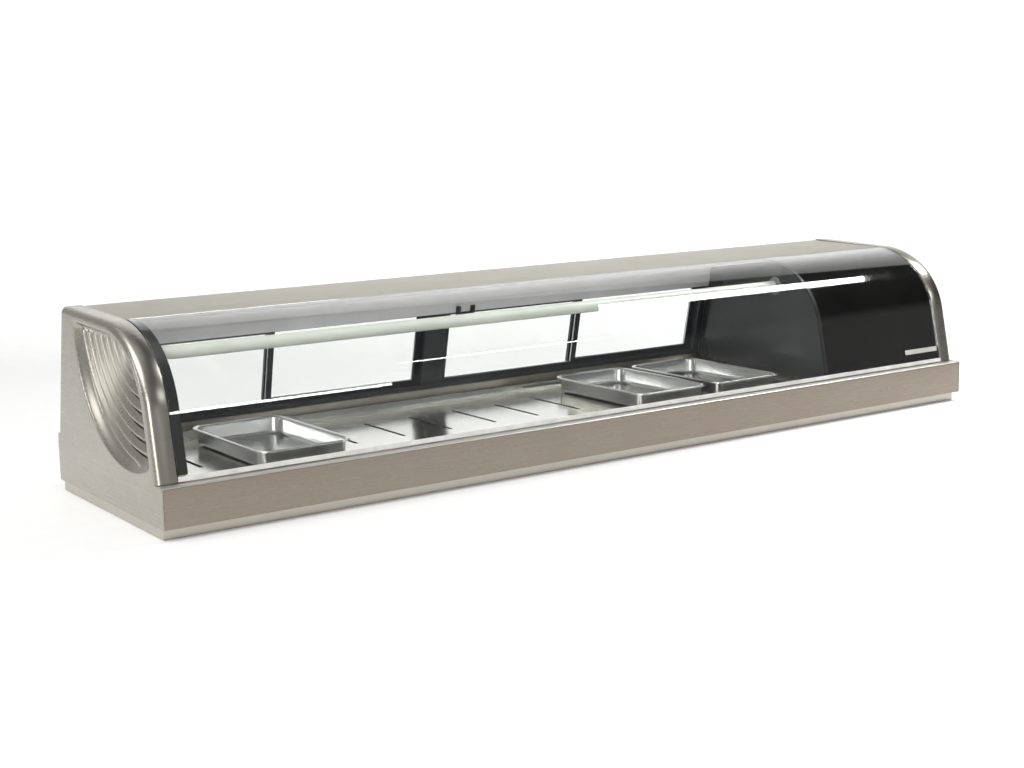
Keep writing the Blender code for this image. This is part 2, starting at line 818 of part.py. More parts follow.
def food_tray(number, x):
    """A deep-drawn tray: rounded walls, with a flat rim turned out at the top."""
    width, depth, height = TRAY_SIZE
    rim = 0.006
    wall = 0.0010
    shape = bmesh.new()
    size = Matrix.Diagonal((width - 2 * rim, depth - 2 * rim, height, 1.0))
    bmesh.ops.create_cube(shape, size=1.0, matrix=size)
    top = [face for face in shape.faces if face.normal.z > 0.9]
    bmesh.ops.delete(shape, geom=top, context="FACES_ONLY")
    upright = [e for e in shape.edges if abs(e.verts[0].co.z - e.verts[1].co.z) > height / 2]
    bmesh.ops.bevel(shape, geom=upright, offset=0.016, segments=4, profile=0.5, affect="EDGES")
    floor = [e for e in shape.edges if all(v.co.z < -0.4 * height for v in e.verts)]
    bmesh.ops.bevel(shape, geom=floor, offset=0.004, segments=2, profile=0.5, affect="EDGES")
    edge = [e for e in shape.edges if e.is_boundary]
    lip = bmesh.ops.extrude_edge_only(shape, edges=edge)["geom"]
    corners = [part for part in lip if isinstance(part, bmesh.types.BMVert)]
    for corner in corners:
        corner.co.x *= width / (width - 2 * rim)
        corner.co.y *= depth / (depth - 2 * rim)
    tray = mesh_object(f"food_tray_{number}", shape, POLISHED)
    solidify = tray.modifiers.new("wall", "SOLIDIFY")
    solidify.thickness = wall
    solidify.offset = 0.0
    solidify.use_even_offset = True
    tray.data.shade_smooth()
    tray.data.set_sharp_from_angle(angle=math.radians(35))
    tray.location = (x, TRAY_Y, DECK_TOP + GAP + (height + wall) / 2)


# ---------------------------------------------------------------- rear doors


def track_outline(base, rib_tip, web_far):
    """An E-shaped track: a web with three ribs, which leave two grooves for the doors."""
    ribs = (TRACK_BACK, (TRACK_BACK + TRACK_FRONT) / 2 - TRACK_RIB / 2, TRACK_FRONT - TRACK_RIB)
    outline = []
    for rib in ribs:
        outline += [(base, rib), (rib_tip, rib), (rib_tip, rib + TRACK_RIB), (base, rib + TRACK_RIB)]
    outline = outline[1:-1]
    outline += [(web_far, TRACK_FRONT), (web_far, TRACK_BACK)]
    return [rear_point(up, depth) for up, depth in outline]


def door_tracks():
    left = DISPLAY_LEFT + GAP
    lower = track_outline(0.0030, 0.0080, 0.0006)
    prism("lower_track", lower, left, OPENING_RIGHT, BLACK_PLASTIC)
    upper = track_outline(0.1400, 0.1300, 0.1418)
    prism("upper_track", upper, left, OPENING_RIGHT, BLACK_PLASTIC)


def upright(name, left, right, low, high):
    prism(name, rear_block(low, high, TRACK_BACK, TRACK_FRONT), left, right, BLACK_PLASTIC)


def door_posts():
    upright("centre_mullion", MULLION[0], MULLION[1], 0.0084, 0.1296)
    upright("jamb_left", -BAY_END, DISPLAY_LEFT - GAP, 0.0006, 0.1272)
    upright("jamb_right", OPENING_RIGHT + GAP, DISPLAY_RIGHT - 2 * GAP, 0.0006, 0.1272)


def door_frame(number, left, depth, pull_side):
    """A four-sided frame with a finger recess in the rear face of its outer stile."""
    right = left + DOOR_WIDTH
    outer = rear_block(DOOR_BOTTOM, DOOR_TOP, depth, depth + DOOR_THICK)
    frame = prism(f"door_frame_{number}", outer, left, right, BLACK_PLASTIC)
    window = rear_block(DOOR_BOTTOM + RAIL, DOOR_TOP - RAIL, depth - 0.01, depth + 0.03)
    cut(frame, prism(f"door_window_{number}", window, left + STILE, right - STILE, None, CUTTERS))
    recess_depth, recess_width, recess_margin = 0.0035, 0.005, 0.002
    recess = rear_block(0.050, 0.095, depth - 0.01, depth + recess_depth)
    start = right - STILE + recess_margin if pull_side > 0 else left + recess_margin
    cut(frame, prism(f"door_recess_{number}", recess, start, start + recess_width, None, CUTTERS))


def door_pane(number, left, depth):
    middle = depth + DOOR_THICK / 2
    thick = 0.0030
    low, high = DOOR_BOTTOM + RAIL + GAP, DOOR_TOP - RAIL - GAP
    pane = rear_block(low, high, middle - thick / 2, middle + thick / 2)
    inner = left + STILE + GAP
    outer = left + DOOR_WIDTH - STILE - GAP
    prism(f"door_pane_{number}", pane, inner, outer, ACRYLIC)


def rear_doors():
    """Two pairs. In each, the left door runs in the inner groove and the right one in the outer."""
    pair_starts = (MULLION[0] - 0.0005 - 2 * DOOR_WIDTH + STILE, MULLION[1] + 0.0005)
    number = 0
    for start in pair_starts:
        for place, depth in enumerate(reversed(DOOR_DEPTHS)):
            number += 1
            left = start + place * (DOOR_WIDTH - STILE)
            door_frame(number, left, depth, 1 if place else -1)
            door_pane(number, left, depth)


# ---------------------------------------------------------------- machine room


def rear_normal():
    lean = math.radians(REAR_LEAN)
    return Vector((0, math.cos(lean), math.sin(lean)))


def rear_place(x, up, depth=0.0):
    y, z = rear_point(up, depth)
    return Vector((x, y, z))


def service_panel():
    """The rear cover of the machine room, with louvres and holes for the controls and the gland."""
    low, high = 0.0006, SKIRT_BOTTOM - 0.0006
    outline = rear_block(low, high, 0.0, SHEET)
    panel = prism("service_panel", outline, MACHINE_LEFT, BAY_END, STEEL)
    for row in range(6):
        up = 0.030 + 0.012 * row
        louvre = rear_block(up, up + 0.004, -0.01, 0.01)
        cut(panel, prism(f"louvre_{row + 1}", louvre, 0.470, 0.570, None, CUTTERS))
    middle = SHEET / 2
    for name, x, up, radius in (
        ("knob_hole", KNOB_X, CONTROL_UP, 0.0045),
        ("gland_hole", GLAND_X, GLAND_UP, 0.0070),
    ):
        place = rear_place(x, up, middle)
        cut(panel, cylinder(name, radius, 0.02, place, rear_normal(), None, CUTTERS, 20))
    window = rear_block(CONTROL_UP - 0.0075, CONTROL_UP + 0.0075, -0.01, 0.01)
    cut(panel, prism("switch_hole", window, SWITCH_X - 0.010, SWITCH_X + 0.010, None, CUTTERS))


def control_box():
    outline = rear_block(0.084, 0.126, 0.0090, 0.0480)
    body = prism("control_box", outline, 0.615, 0.705, WHITE_PLASTIC)
    round_edges(body, 0.0015, 2)


def thermostat_knob():
    """A grooved knob whose spindle reaches through the panel."""
    face, back, spindle_end = 0.0125, 0.0008, -0.0065
    rim, grip, spindle = 0.0140, 0.0120, 0.0030
    profile = [
        (0.0, face),
        (grip - 0.0012, face),
        (grip, face - 0.0012),
        (grip + 0.0004, back + 0.0030),
        (rim, back + 0.0022),
        (rim, back),
        (spindle, back),
        (spindle, spindle_end),
        (0.0, spindle_end),
    ]
    place = rear_place(KNOB_X, CONTROL_UP)
    knob = turned("thermostat_knob", profile, place, rear_normal(), BLACK_PLASTIC, 24)
    groove_outline = rear_block(CONTROL_UP + 0.0015, CONTROL_UP + 0.0110, -0.02, -0.0113)
    groove = prism("knob_mark", groove_outline, KNOB_X - 0.0008, KNOB_X + 0.0008, None, CUTTERS)
    cut(knob, groove)


def power_switch():
    """A rocker, resting tilted to its off side about a pivot just inside the panel."""
    half_length, half_width = 0.0058, 0.0088
    tip, dip, root = 0.0050, 0.0036, 0.0032
    tilt = math.radians(SWITCH_TILT)
    rocker = [(-half_length, -tip), (0.0, -dip), (half_length, -tip)]
    rocker += [(half_length * 0.8, root), (-half_length * 0.8, root)]
    outline = []
    for up, depth in rocker:
        turned_up = up * math.cos(tilt) - depth * math.sin(tilt)
        turned_depth = up * math.sin(tilt) + depth * math.cos(tilt)
        outline.append(rear_point(CONTROL_UP + turned_up, SWITCH_PIVOT_DEPTH + turned_depth))
    pivot = rear_place(SWITCH_X, CONTROL_UP, SWITCH_PIVOT_DEPTH)
    switch = prism("power_switch", outline, SWITCH_X - half_width, SWITCH_X + half_width, BLACK_PLASTIC)
    move_origin(switch, pivot)


def move_origin(piece, place):
    """Puts a piece's origin on its joint axis, with its shape left where it is."""
    bpy.context.view_layer.update()
    shift = piece.matrix_world.inverted() @ Vector(place)
    piece.data.transform(Matrix.Translation(-shift))
    piece.matrix_world = Matrix.Translation(Vector(place)) @ piece.matrix_world.to_3x3().to_4x4()


def cable_gland():
    """The screwed gland where the mains lead leaves, with a shallow mouth."""
    flange, nose, neck, mouth = 0.0105, 0.0080, 0.0060, 0.0040
    back, step, tip, floor = 0.0006, 0.0030, 0.0068, 0.0036
    profile = [
        (0.0, floor),
        (mouth, floor),
        (mouth, tip),
        (nose - 0.001, tip),
        (nose, tip - 0.001),
        (nose, step),
        (flange, step),
        (flange, back),
        (neck, back),
        (neck, -0.0070),
        (0.0, -0.0070),
    ]
    turned("cable_gland", profile, rear_place(GLAND_X, GLAND_UP), rear_normal(), BLACK_PLASTIC, 24)


def compressor():
    """A hermetic shell with a welded seam round its middle and a stub on top."""
    foot = ROOM_FLOOR + 0.0125
    radius = 0.054
    crown = foot + 0.125
    seam = foot + 0.062
    profile = [
        (0.0, crown + 0.0060),
        (0.0070, crown + 0.0060),
        (0.0070, crown),
        (radius * 0.55, crown - 0.004),
        (radius * 0.88, crown - 0.017),
        (radius, crown - 0.036),
        (radius, seam + 0.003),
        (radius + 0.002, seam + 0.002),
        (radius + 0.002, seam - 0.002),
        (radius, seam - 0.003),
        (radius, foot + 0.022),
        (radius * 0.86, foot + 0.006),
        (radius * 0.60, foot),
        (0.0, foot),
    ]
    turned("compressor", profile, (*COMPRESSOR, 0), (0, 0, 1), BLACK_PAINT, 28)


def compressor_base():
    """A pressed tray with down-turned sides that the compressor is bolted to."""
    low = ROOM_FLOOR
    high = ROOM_FLOOR + 0.0120
    x, y = COMPRESSOR
    body = box("compressor_base", (x - 0.062, y - 0.068, low), (x + 0.062, y + 0.068, high), GALVANISED)
    under = box(
        "base_underside",
        (x - 0.060, y - 0.08, low - 0.01),
        (x + 0.060, y + 0.08, high - 0.002),
        None,
        CUTTERS,
    )
    cut(body, under)


def condenser_coil():
    """A block of upright fins, cut from its inner side so that the fins stay joined."""
    low, high = ROOM_FLOOR, 0.155
    left, right = 0.6905, 0.7155
    half = 0.066
    coil = box("condenser_coil", (left, -half, low), (right, half, high), ALUMINIUM)
    fins = 16
    pitch = (2 * half - 0.008) / fins
    for index in range(fins):
        start = -half + 0.006 + pitch * index
        slit = box(
            f"fin_slit_{index + 1}",
            (left - 0.01, start, low + 0.006),
            (right - 0.008, start + pitch * 0.55, high - 0.006),
            None,
            CUTTERS,
        )
        cut(coil, slit)


def fan_shroud():
    plate = box("fan_shroud", (0.6860, -0.069, ROOM_FLOOR), (0.6895, 0.069, 0.157), GALVANISED)
    place = (0.688, 0, FAN_Z)
    cut(plate, cylinder("shroud_hole", 0.056, 0.02, place, (1, 0, 0), None, CUTTERS, 40))


def fan_motor():
    """The motor, with a shaft that carries the blades."""
    shaft, body = 0.0022, 0.024
    rear, front, tip = 0.600, 0.636, 0.6570
    profile = [
        (0.0, tip),
        (shaft, tip),
        (shaft, front + 0.004),
        (0.010, front + 0.004),
        (0.010, front),
        (body - 0.002, front),
        (body, front - 0.002),
        (body, rear + 0.002),
        (body - 0.002, rear),
        (0.0, rear),
    ]
    turned("fan_motor", profile, (0, 0, FAN_Z), (1, 0, 0), BLACK_PAINT, 24)


def motor_bracket():
    """A folded strip that stands on the base pan behind the motor."""
    back = 0.5995
    shape = box("motor_bracket", (back - 0.012, -0.018, ROOM_FLOOR), (back, 0.018, 0.112), GALVANISED)
    notch = box(
        "bracket_notch",
        (back - 0.03, -0.03, ROOM_FLOOR + 0.002),
        (back - 0.002, 0.03, 0.13),
        None,
        CUTTERS,
    )
    cut(shape, notch)


def fan_blades():
    """A hub with four pitched blades, which spins on the motor shaft."""
    hub = cylinder("fan_blades", 0.013, 0.016, (FAN_X, 0, FAN_Z), (1, 0, 0), BLACK_PLASTIC, sides=24)
    for index in range(4):
        blade = box(f"blade_{index + 1}", (-0.0008, -0.014, 0.009), (0.0008, 0.014, 0.050), None, CUTTERS)
        blade.data.transform(Matrix.Translation(blade.location))
        pitch = Matrix.Rotation(math.radians(62), 4, "Z")
        place = Matrix.Translation((FAN_X, 0, FAN_Z))
        blade.matrix_world = place @ Matrix.Rotation(index * math.pi / 2, 4, "X") @ pitch
        cut(hub, blade, "UNION")
    bore = cylinder("hub_bore", 0.0028, 0.012, (FAN_X - 0.003, 0, FAN_Z), (1, 0, 0), None, CUTTERS, 20)
    cut(hub, bore)


def filter_drier():
    """A sealed cylinder with a reduced neck at each end."""
    low, high = 0.060, 0.130
    neck, body = 0.0035, 0.0090
    profile = [
        (0.0, high),
        (neck, high),
        (neck, high - 0.008),
        (body, high - 0.016),
        (body, low + 0.016),
        (neck, low + 0.008),
        (neck, low),
        (0.0, low),
    ]
    turned("filter_drier", profile, (*DRIER, 0), (0, 0, 1), COPPER, 20)


def smooth_route(corners, steps=4):
    """A Catmull-Rom curve through a pipe's own corner points."""
    points = [Vector(corner) for corner in corners]
    points = [points[0] * 2 - points[1]] + points + [points[-1] * 2 - points[-2]]
    route = []
    for a, b, c, d in zip(points, points[1:], points[2:], points[3:]):
        for step in range(steps):
            t = step / steps
            bend = (c - a) * t + (2 * a - 5 * b + 4 * c - d) * t**2 + (3 * b - a - 3 * c + d) * t**3
            route.append(tuple(b + bend / 2))
    route.append(tuple(points[-2]))
    return route


def refrigerant_lines():
    x, y = COMPRESSOR
    stub = ROOM_FLOOR + 0.0125 + 0.131 + GAP
    header_y = rear_at(0.2400, 0.0120)[0]
    suction = [
        (DISPLAY_RIGHT + GAP, header_y, 0.2400),
        (0.4650, header_y, 0.2400),
        (0.4950, header_y - 0.010, 0.2330),
        (0.5140, 0.095, 0.2120),
        (x, y + 0.004, 0.1900),
        (x, y, stub + 0.012),
        (x, y, stub),
    ]
    tube("suction_line", smooth_route(suction), 0.0048, COPPER, 2)
    riser = [
        (TUBE_EXIT + 2 * GAP, PLATE_RUNS[-1], PLATE_TUBE_Z),
        (0.4600, PLATE_RUNS[-1], PLATE_TUBE_Z),
        (0.4640, 0.112, 0.0600),
        (0.4560, 0.110, 0.1300),
        (0.4580, 0.060, 0.1900),
        (0.4700, 0.005, 0.2130),
        (0.4920, -0.020, PIPE_Z),
        (0.4880, PIPE_Y, PIPE_Z),
        (0.4708, PIPE_Y, PIPE_Z),
    ]
    tube("riser_line", smooth_route(riser), PLATE_TUBE_RADIUS, COPPER, 2)
    liquid = [
        (TUBE_EXIT + GAP, PLATE_RUNS[0], PLATE_TUBE_Z),
        (0.5200, PLATE_RUNS[0], PLATE_TUBE_Z),
        (0.5620, -0.085, PLATE_TUBE_Z),
        (0.5780, -0.050, PLATE_TUBE_Z),
        (0.5880, 0.040, PLATE_TUBE_Z),
        (0.5960, 0.085, PLATE_TUBE_Z),
        (DRIER[0] - 0.004, DRIER[1] - 0.006, 0.0480),
        (*DRIER, 0.0545),
        (*DRIER, 0.0590),
    ]
    tube("liquid_line", smooth_route(liquid), PLATE_TUBE_RADIUS, COPPER, 2)
    discharge = [
        (x + 0.0020, y - 0.0570, 0.0600),
        (x + 0.0020, y - 0.0700, 0.0600),
        (x + 0.0080, -0.045, 0.0750),
        (0.5500, -0.070, 0.1200),
        (0.5900, -0.070, 0.1600),
        (0.6500, -0.060, 0.1720),
        (0.6920, -0.045, 0.1720),
        (0.7030, -0.040, 0.1630),
        (0.7030, -0.040, 0.1550 + GAP),
    ]
    tube("discharge_line", smooth_route(discharge), 0.0030, COPPER, 2)


# ---------------------------------------------------------------- assembly

drain_bore = cylinder(
    "drain_bore", DRAIN_RADIUS + 0.0008, 0.08, (*DRAIN, 0.035), (0, 0, 1), None, CUTTERS, 20
)
plate_tube_bores = [
    cylinder(
        f"plate_tube_bore_{end}",
        PLATE_TUBE_RADIUS + 0.0010,
        0.03,
        (DISPLAY_RIGHT, PLATE_RUNS[end], PLATE_TUBE_Z),
        (1, 0, 0),
        None,
        CUTTERS,
        16,
    )
    for end in (0, -1)
]
pipe_bore = cylinder(
    "pipe_bore", PIPE_RADIUS + 0.0012, 0.03, (DISPLAY_RIGHT, PIPE_Y, PIPE_Z), (1, 0, 0), None, CUTTERS, 24
)

front_apron()
plinth_frame()
base_pan()
insulation_tub()
inner_tank()
drain_spout()
rear_base_panel()
end_panel(-1)
end_panel(1)
side_liner()
side_insulation()
top_cover()
ceiling_panel()
header_insulation()
front_glass()
glass_channel()
glass_seal_left()
glass_seal_top()
machine_cover()
name_plate()
partition_wall()
partition_seal()
cooling_pipe()
door_stop_bracket()
cold_plate()
cold_plate_tube()
display_deck()
for tray_number, tray_x in enumerate(TRAY_CENTRES, 1):
    food_tray(tray_number, tray_x)
door_tracks()
door_posts()
rear_doors()
service_panel()
control_box()
thermostat_knob()
power_switch()
cable_gland()
compressor()
compressor_base()
condenser_coil()
fan_shroud()
fan_motor()
motor_bracket()
fan_blades()
filter_drier()
refrigerant_lines()
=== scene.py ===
"""Looks of the countertop refrigerated deli case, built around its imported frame. Metres, row frame."""

import json
import math
import random

import bmesh
import bpy
from mathutils import Matrix, Vector

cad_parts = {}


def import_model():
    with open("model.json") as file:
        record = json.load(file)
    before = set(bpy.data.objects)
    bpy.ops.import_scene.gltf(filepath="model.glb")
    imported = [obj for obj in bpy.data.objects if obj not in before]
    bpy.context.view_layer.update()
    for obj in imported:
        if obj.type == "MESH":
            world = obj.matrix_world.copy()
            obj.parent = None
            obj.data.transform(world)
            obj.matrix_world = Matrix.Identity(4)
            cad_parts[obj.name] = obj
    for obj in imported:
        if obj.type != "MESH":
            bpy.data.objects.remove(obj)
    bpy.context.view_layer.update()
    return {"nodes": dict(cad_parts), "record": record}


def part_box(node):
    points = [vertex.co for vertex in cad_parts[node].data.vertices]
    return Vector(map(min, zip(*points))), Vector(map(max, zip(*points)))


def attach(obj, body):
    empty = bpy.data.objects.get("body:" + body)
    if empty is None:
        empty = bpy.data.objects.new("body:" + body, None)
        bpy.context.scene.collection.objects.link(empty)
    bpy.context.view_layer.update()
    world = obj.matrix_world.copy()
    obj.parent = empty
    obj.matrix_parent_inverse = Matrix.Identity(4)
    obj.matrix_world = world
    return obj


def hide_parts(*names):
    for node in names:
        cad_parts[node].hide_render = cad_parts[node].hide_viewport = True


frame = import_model()
NODES = frame["nodes"]
random.seed(7)

# ---------------------------------------------------------------- sizes read from the frame
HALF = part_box("end_panel_right")[1].x
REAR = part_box("end_panel_right")[1].y
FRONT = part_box("end_panel_left")[0].y
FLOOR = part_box("end_panel_left")[0].z
FLANGE_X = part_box("end_panel_right")[0].x
APRON_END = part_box("front_apron")[1].x
BAY_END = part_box("front_glass")[1].x
DISPLAY_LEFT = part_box("side_liner")[1].x
WALL_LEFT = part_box("partition_wall")[0].x
MACHINE_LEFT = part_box("machine_cover")[0].x

# Section of the case, as the CAD has it: (y, z) geometry of the glass and of the rear plane.
LEDGE_Z = 0.069
LEDGE_LIP_Z = 0.060
LEDGE_DEPTH = 0.0255
GLASS_FOOT_Y = -0.1685
FLAT_LEAN = 78.45
FLAT_LENGTH = 0.095
ARCS = ((0.1223, 30.0, 30), (0.1627, 5.1, 14))
GLASS = 0.004
REAR_FOOT_Y, REAR_FOOT_Z = 0.1835, 0.084
REAR_LEAN = math.radians(12.13)
CORNER = 0.010
SHEET = 0.0015


# ---------------------------------------------------------------- section helpers


def front_profile(inset=0.0, start=0.0):
    """(y, z) up the curved front, moved inwards by inset."""
    heading = math.radians(FLAT_LEAN)
    up = Vector((math.cos(heading), math.sin(heading)))
    inwards = Vector((up.y, -up.x))
    foot = Vector((GLASS_FOOT_Y, LEDGE_Z))
    points = [foot + up * start + inwards * inset]
    corner = foot + up * FLAT_LENGTH
    first = True
    for radius, end, steps in ARCS:
        centre = corner + radius * Vector((math.sin(heading), -math.cos(heading)))
        finish = math.radians(end)
        for step in range(0 if first else 1, steps + 1):
            angle = heading + (finish - heading) * step / steps
            points.append(centre + (radius - inset) * Vector((-math.sin(angle), math.cos(angle))))
        corner = centre + radius * Vector((-math.sin(finish), math.cos(finish)))
        heading = finish
        first = False
    return [tuple(point) for point in points]


def front_start(z, inset):
    lean = math.radians(FLAT_LEAN)
    return (z - LEDGE_Z + inset * math.cos(lean)) / math.sin(lean)


def rear_point(up, depth):
    y = REAR_FOOT_Y - up * math.sin(REAR_LEAN) - depth * math.cos(REAR_LEAN)
    return y, REAR_FOOT_Z + up * math.cos(REAR_LEAN) - depth * math.sin(REAR_LEAN)


def rear_at(z, depth=0.0):
    return rear_point((z - REAR_FOOT_Z + depth * math.sin(REAR_LEAN)) / math.cos(REAR_LEAN), depth)


def rear_place(x, up, depth=0.0):
    return Vector((x, *rear_point(up, depth)))


REAR_NORMAL = Vector((0, math.cos(REAR_LEAN), math.sin(REAR_LEAN)))


def fillet(path, radius, steps=6):
    """Rounds every inner corner of an open path."""
    result = [tuple(path[0])]
    for before, corner, after in zip(path, path[1:], path[2:]):
        corner = Vector(corner)
        one = (Vector(before) - corner).normalized()
        two = (Vector(after) - corner).normalized()
        half = one.angle(two) / 2
        if half > math.radians(88):
            result.append(tuple(corner))
            continue
        centre = corner + (one + two).normalized() * radius / math.sin(half)
        start = corner + one * radius / math.tan(half) - centre
        end = corner + two * radius / math.tan(half) - centre
        sweep = math.atan2(start.x * end.y - start.y * end.x, start.dot(end))
        for step in range(steps + 1):
            result.append(tuple(centre + Matrix.Rotation(sweep * step / steps, 2) @ start))
    result.append(tuple(path[-1]))
    return result


def offset(path, distance):
    """Moves an open path to its right, with mitred corners."""
    points = [Vector(point) for point in path]
    sides = []
    for a, b in zip(points, points[1:]):
        run = (b - a).normalized()
        sides.append(Vector((run.y, -run.x)))
    moved = []
    for index, point in enumerate(points):
        before = sides[max(index - 1, 0)]
        after = sides[min(index, len(sides) - 1)]
        moved.append(tuple(point + (before + after) * distance / (1 + before.dot(after))))
    return moved


# ---------------------------------------------------------------- material helpers


class Look:
    """A Principled material under construction."""

    def __init__(self, name, **values):
        self.material = bpy.data.materials.new(name)
        self.material.use_nodes = True
        self.tree = self.material.node_tree
        self.shader = self.tree.nodes["Principled BSDF"]
        for key, value in values.items():
            self.shader.inputs[key.replace("_", " ")].default_value = value
        self.coords = self.tree.nodes.new("ShaderNodeTexCoord").outputs["Object"]

    def link(self, source, target):
        self.tree.links.new(source, target)

    def noise(self, scale, stretch=(1, 1, 1), detail=3.0, rough=0.5):
        mapping = self.tree.nodes.new("ShaderNodeMapping")
        mapping.inputs["Scale"].default_value = stretch
        self.link(self.coords, mapping.inputs["Vector"])
        texture = self.tree.nodes.new("ShaderNodeTexNoise")
        texture.inputs["Scale"].default_value = scale
        texture.inputs["Detail"].default_value = detail
        texture.inputs["Roughness"].default_value = rough
        self.link(mapping.outputs["Vector"], texture.inputs["Vector"])
        return texture.outputs["Fac"]

    def cells(self, scale, output="Distance"):
        texture = self.tree.nodes.new("ShaderNodeTexVoronoi")
        texture.inputs["Scale"].default_value = scale
        self.link(self.coords, texture.inputs["Vector"])
        return texture.outputs[output]

    def remap(self, source, low, high, start=0.3, end=0.7):
        node = self.tree.nodes.new("ShaderNodeMapRange")
        node.inputs["From Min"].default_value = start
        node.inputs["From Max"].default_value = end
        node.inputs["To Min"].default_value = low
        node.inputs["To Max"].default_value = high
        self.link(source, node.inputs["Value"])
        return node.outputs["Result"]

    def maths(self, operation, first, second):
        node = self.tree.nodes.new("ShaderNodeMath")
        node.operation = operation
        for socket, value in zip(node.inputs, (first, second)):
            if isinstance(value, (int, float)):
                socket.default_value = value
            else:
                self.link(value, socket)
        return node.outputs[0]

    def blend(self, factor, first, second):
        node = self.tree.nodes.new("ShaderNodeMix")
        node.data_type = "RGBA"
        self.link(factor, node.inputs[0])
        for socket, value in zip((node.inputs[6], node.inputs[7]), (first, second)):
            if isinstance(value, tuple):
                socket.default_value = (*value, 1.0)
            else:
                self.link(value, socket)
        return node.outputs[2]

    def bump(self, height, distance, strength=0.5, below=None):
        node = self.tree.nodes.new("ShaderNodeBump")
        node.inputs["Strength"].default_value = strength
        node.inputs["Distance"].default_value = distance
        self.link(height, node.inputs["Height"])
        if below is not None:
            self.link(below, node.inputs["Normal"])
        return node.outputs["Normal"]

    def finish(self, colour=None, roughness=None, normal=None):
        for socket, name in ((colour, "Base Color"), (roughness, "Roughness"), (normal, "Normal")):
            if socket is not None:
                self.link(socket, self.shader.inputs[name])
        return self.material


def shade(colour, factor):
    return tuple(min(1.0, value * factor) for value in colour)


def brushed(name, colour, along, rough=0.27, contrast=0.10, cloud=0.10, flanged=False, **values):
    """Brushed stainless: hairlines along one axis, a soft cloudiness and slight smears."""
    look = Look(name, Metallic=1.0, **values)

    def streaks(direction):
        fine = tuple(3.5 if axis == direction else 1150.0 for axis in "xyz")
        broad = tuple(0.9 if axis == direction else 150.0 for axis in "xyz")
        hair = look.maths("MULTIPLY", look.noise(1.0, fine, 4.0, 0.65), 0.55)
        band = look.maths("MULTIPLY", look.noise(1.0, broad, 3.0, 0.6), 0.45)
        return look.maths("ADD", hair, band)

    lines = streaks(along)
    if flanged:
        split = look.tree.nodes.new("ShaderNodeSeparateXYZ")
        look.link(look.coords, split.inputs[0])
        outwards = look.maths("ABSOLUTE", split.outputs["X"], 0.0)
        face = look.remap(outwards, 0.0, 1.0, HALF - 0.0075, HALF - 0.0035)
        across = look.maths("ADD", look.maths("MULTIPLY", streaks("x"), 0.35), 0.325)
        gap = look.maths("SUBTRACT", lines, across)
        lines = look.maths("ADD", across, look.maths("MULTIPLY", gap, face))
    clouds = look.noise(7.0, detail=4.0)
    smear = look.noise(17.0, detail=3.0)
    tone = look.blend(
        look.remap(lines, 0.0, 1.0, 0.32, 0.68), shade(colour, 1 - contrast), shade(colour, 1 + contrast)
    )
    warm = tuple(value * scale for value, scale in zip(colour, (0.97, 0.90, 0.82)))
    tone = look.blend(look.remap(clouds, 0.0, cloud * 4, 0.42, 0.72), tone, warm)
    roughness = look.maths(
        "ADD",
        look.remap(lines, rough - 0.04, rough + 0.04, 0.3, 0.7),
        look.remap(smear, -0.01, 0.03, 0.35, 0.75),
    )
    normal = look.bump(lines, 0.00002, 0.35)
    return look.finish(tone, roughness, look.bump(clouds, 0.0005, 0.08, normal))


def moulded(name, colour, rough, grain=1800.0, depth=0.00004, **values):
    """Plastic or rubber with a fine grain, slight bloom and handling marks."""
    look = Look(name, **values)
    spots = look.noise(grain, detail=2.0)
    marks = look.noise(38.0, detail=5.0, rough=0.62)
    tone = look.blend(look.remap(marks, 0.0, 1.0, 0.35, 0.75), colour, shade(colour, 1.35))
    roughness = look.remap(marks, rough - 0.05, rough + 0.09, 0.3, 0.75)
    return look.finish(tone, roughness, look.bump(spots, depth, 0.5))


def painted(name, colour, rough, peel=420.0, depth=0.00003, **values):
    """Coated sheet: a faint orange peel and slightly uneven gloss."""
    look = Look(name, **values)
    skin = look.noise(peel, detail=2.0)
    haze = look.noise(11.0, detail=4.0)
    tone = look.blend(look.remap(haze, 0.0, 1.0, 0.35, 0.7), shade(colour, 0.93), shade(colour, 1.05))
    roughness = look.remap(haze, rough - 0.03, rough + 0.06, 0.35, 0.7)
    return look.finish(tone, roughness, look.bump(skin, depth, 0.4))


def spangled(name, colour):
    """Galvanised sheet: flakes of slightly different tone and gloss."""
    look = Look(name, Metallic=1.0)
    flakes = look.cells(130.0, "Color")
    split = look.tree.nodes.new("ShaderNodeSeparateColor")
    look.link(flakes, split.inputs[0])
    tone = look.blend(split.outputs[0], shade(colour, 0.80), shade(colour, 1.15))
    roughness = look.remap(split.outputs[1], 0.32, 0.55, 0.0, 1.0)
    return look.finish(tone, roughness, look.bump(look.noise(60.0), 0.0002, 0.15))


def tarnished(name, colour, rough=0.28):
    """Bare metal with dull patches."""
    look = Look(name, Metallic=1.0)
    patches = look.noise(55.0, detail=6.0, rough=0.6)
    drawn = look.noise(400.0, detail=2.0)
    dull = tuple(value * scale for value, scale in zip(colour, (0.62, 0.60, 0.70)))
    tone = look.blend(look.remap(patches, 0.0, 1.0, 0.40, 0.72), colour, dull)
    roughness = look.remap(patches, rough - 0.06, rough + 0.20, 0.35, 0.75)
    return look.finish(tone, roughness, look.bump(drawn, 0.00005, 0.4))


def foamed(name, colour):
    """Rigid foam with fine cells and uneven ageing."""
    look = Look(name, Roughness=0.9)
    cell = look.cells(420.0)
    age = look.noise(14.0, detail=4.0)
    tone = look.blend(look.remap(age, 0.0, 1.0), shade(colour, 0.82), shade(colour, 1.06))
    roughness = look.remap(cell, 0.80, 0.97, 0.0, 0.8)
    return look.finish(tone, roughness, look.bump(cell, 0.0006, 0.6))


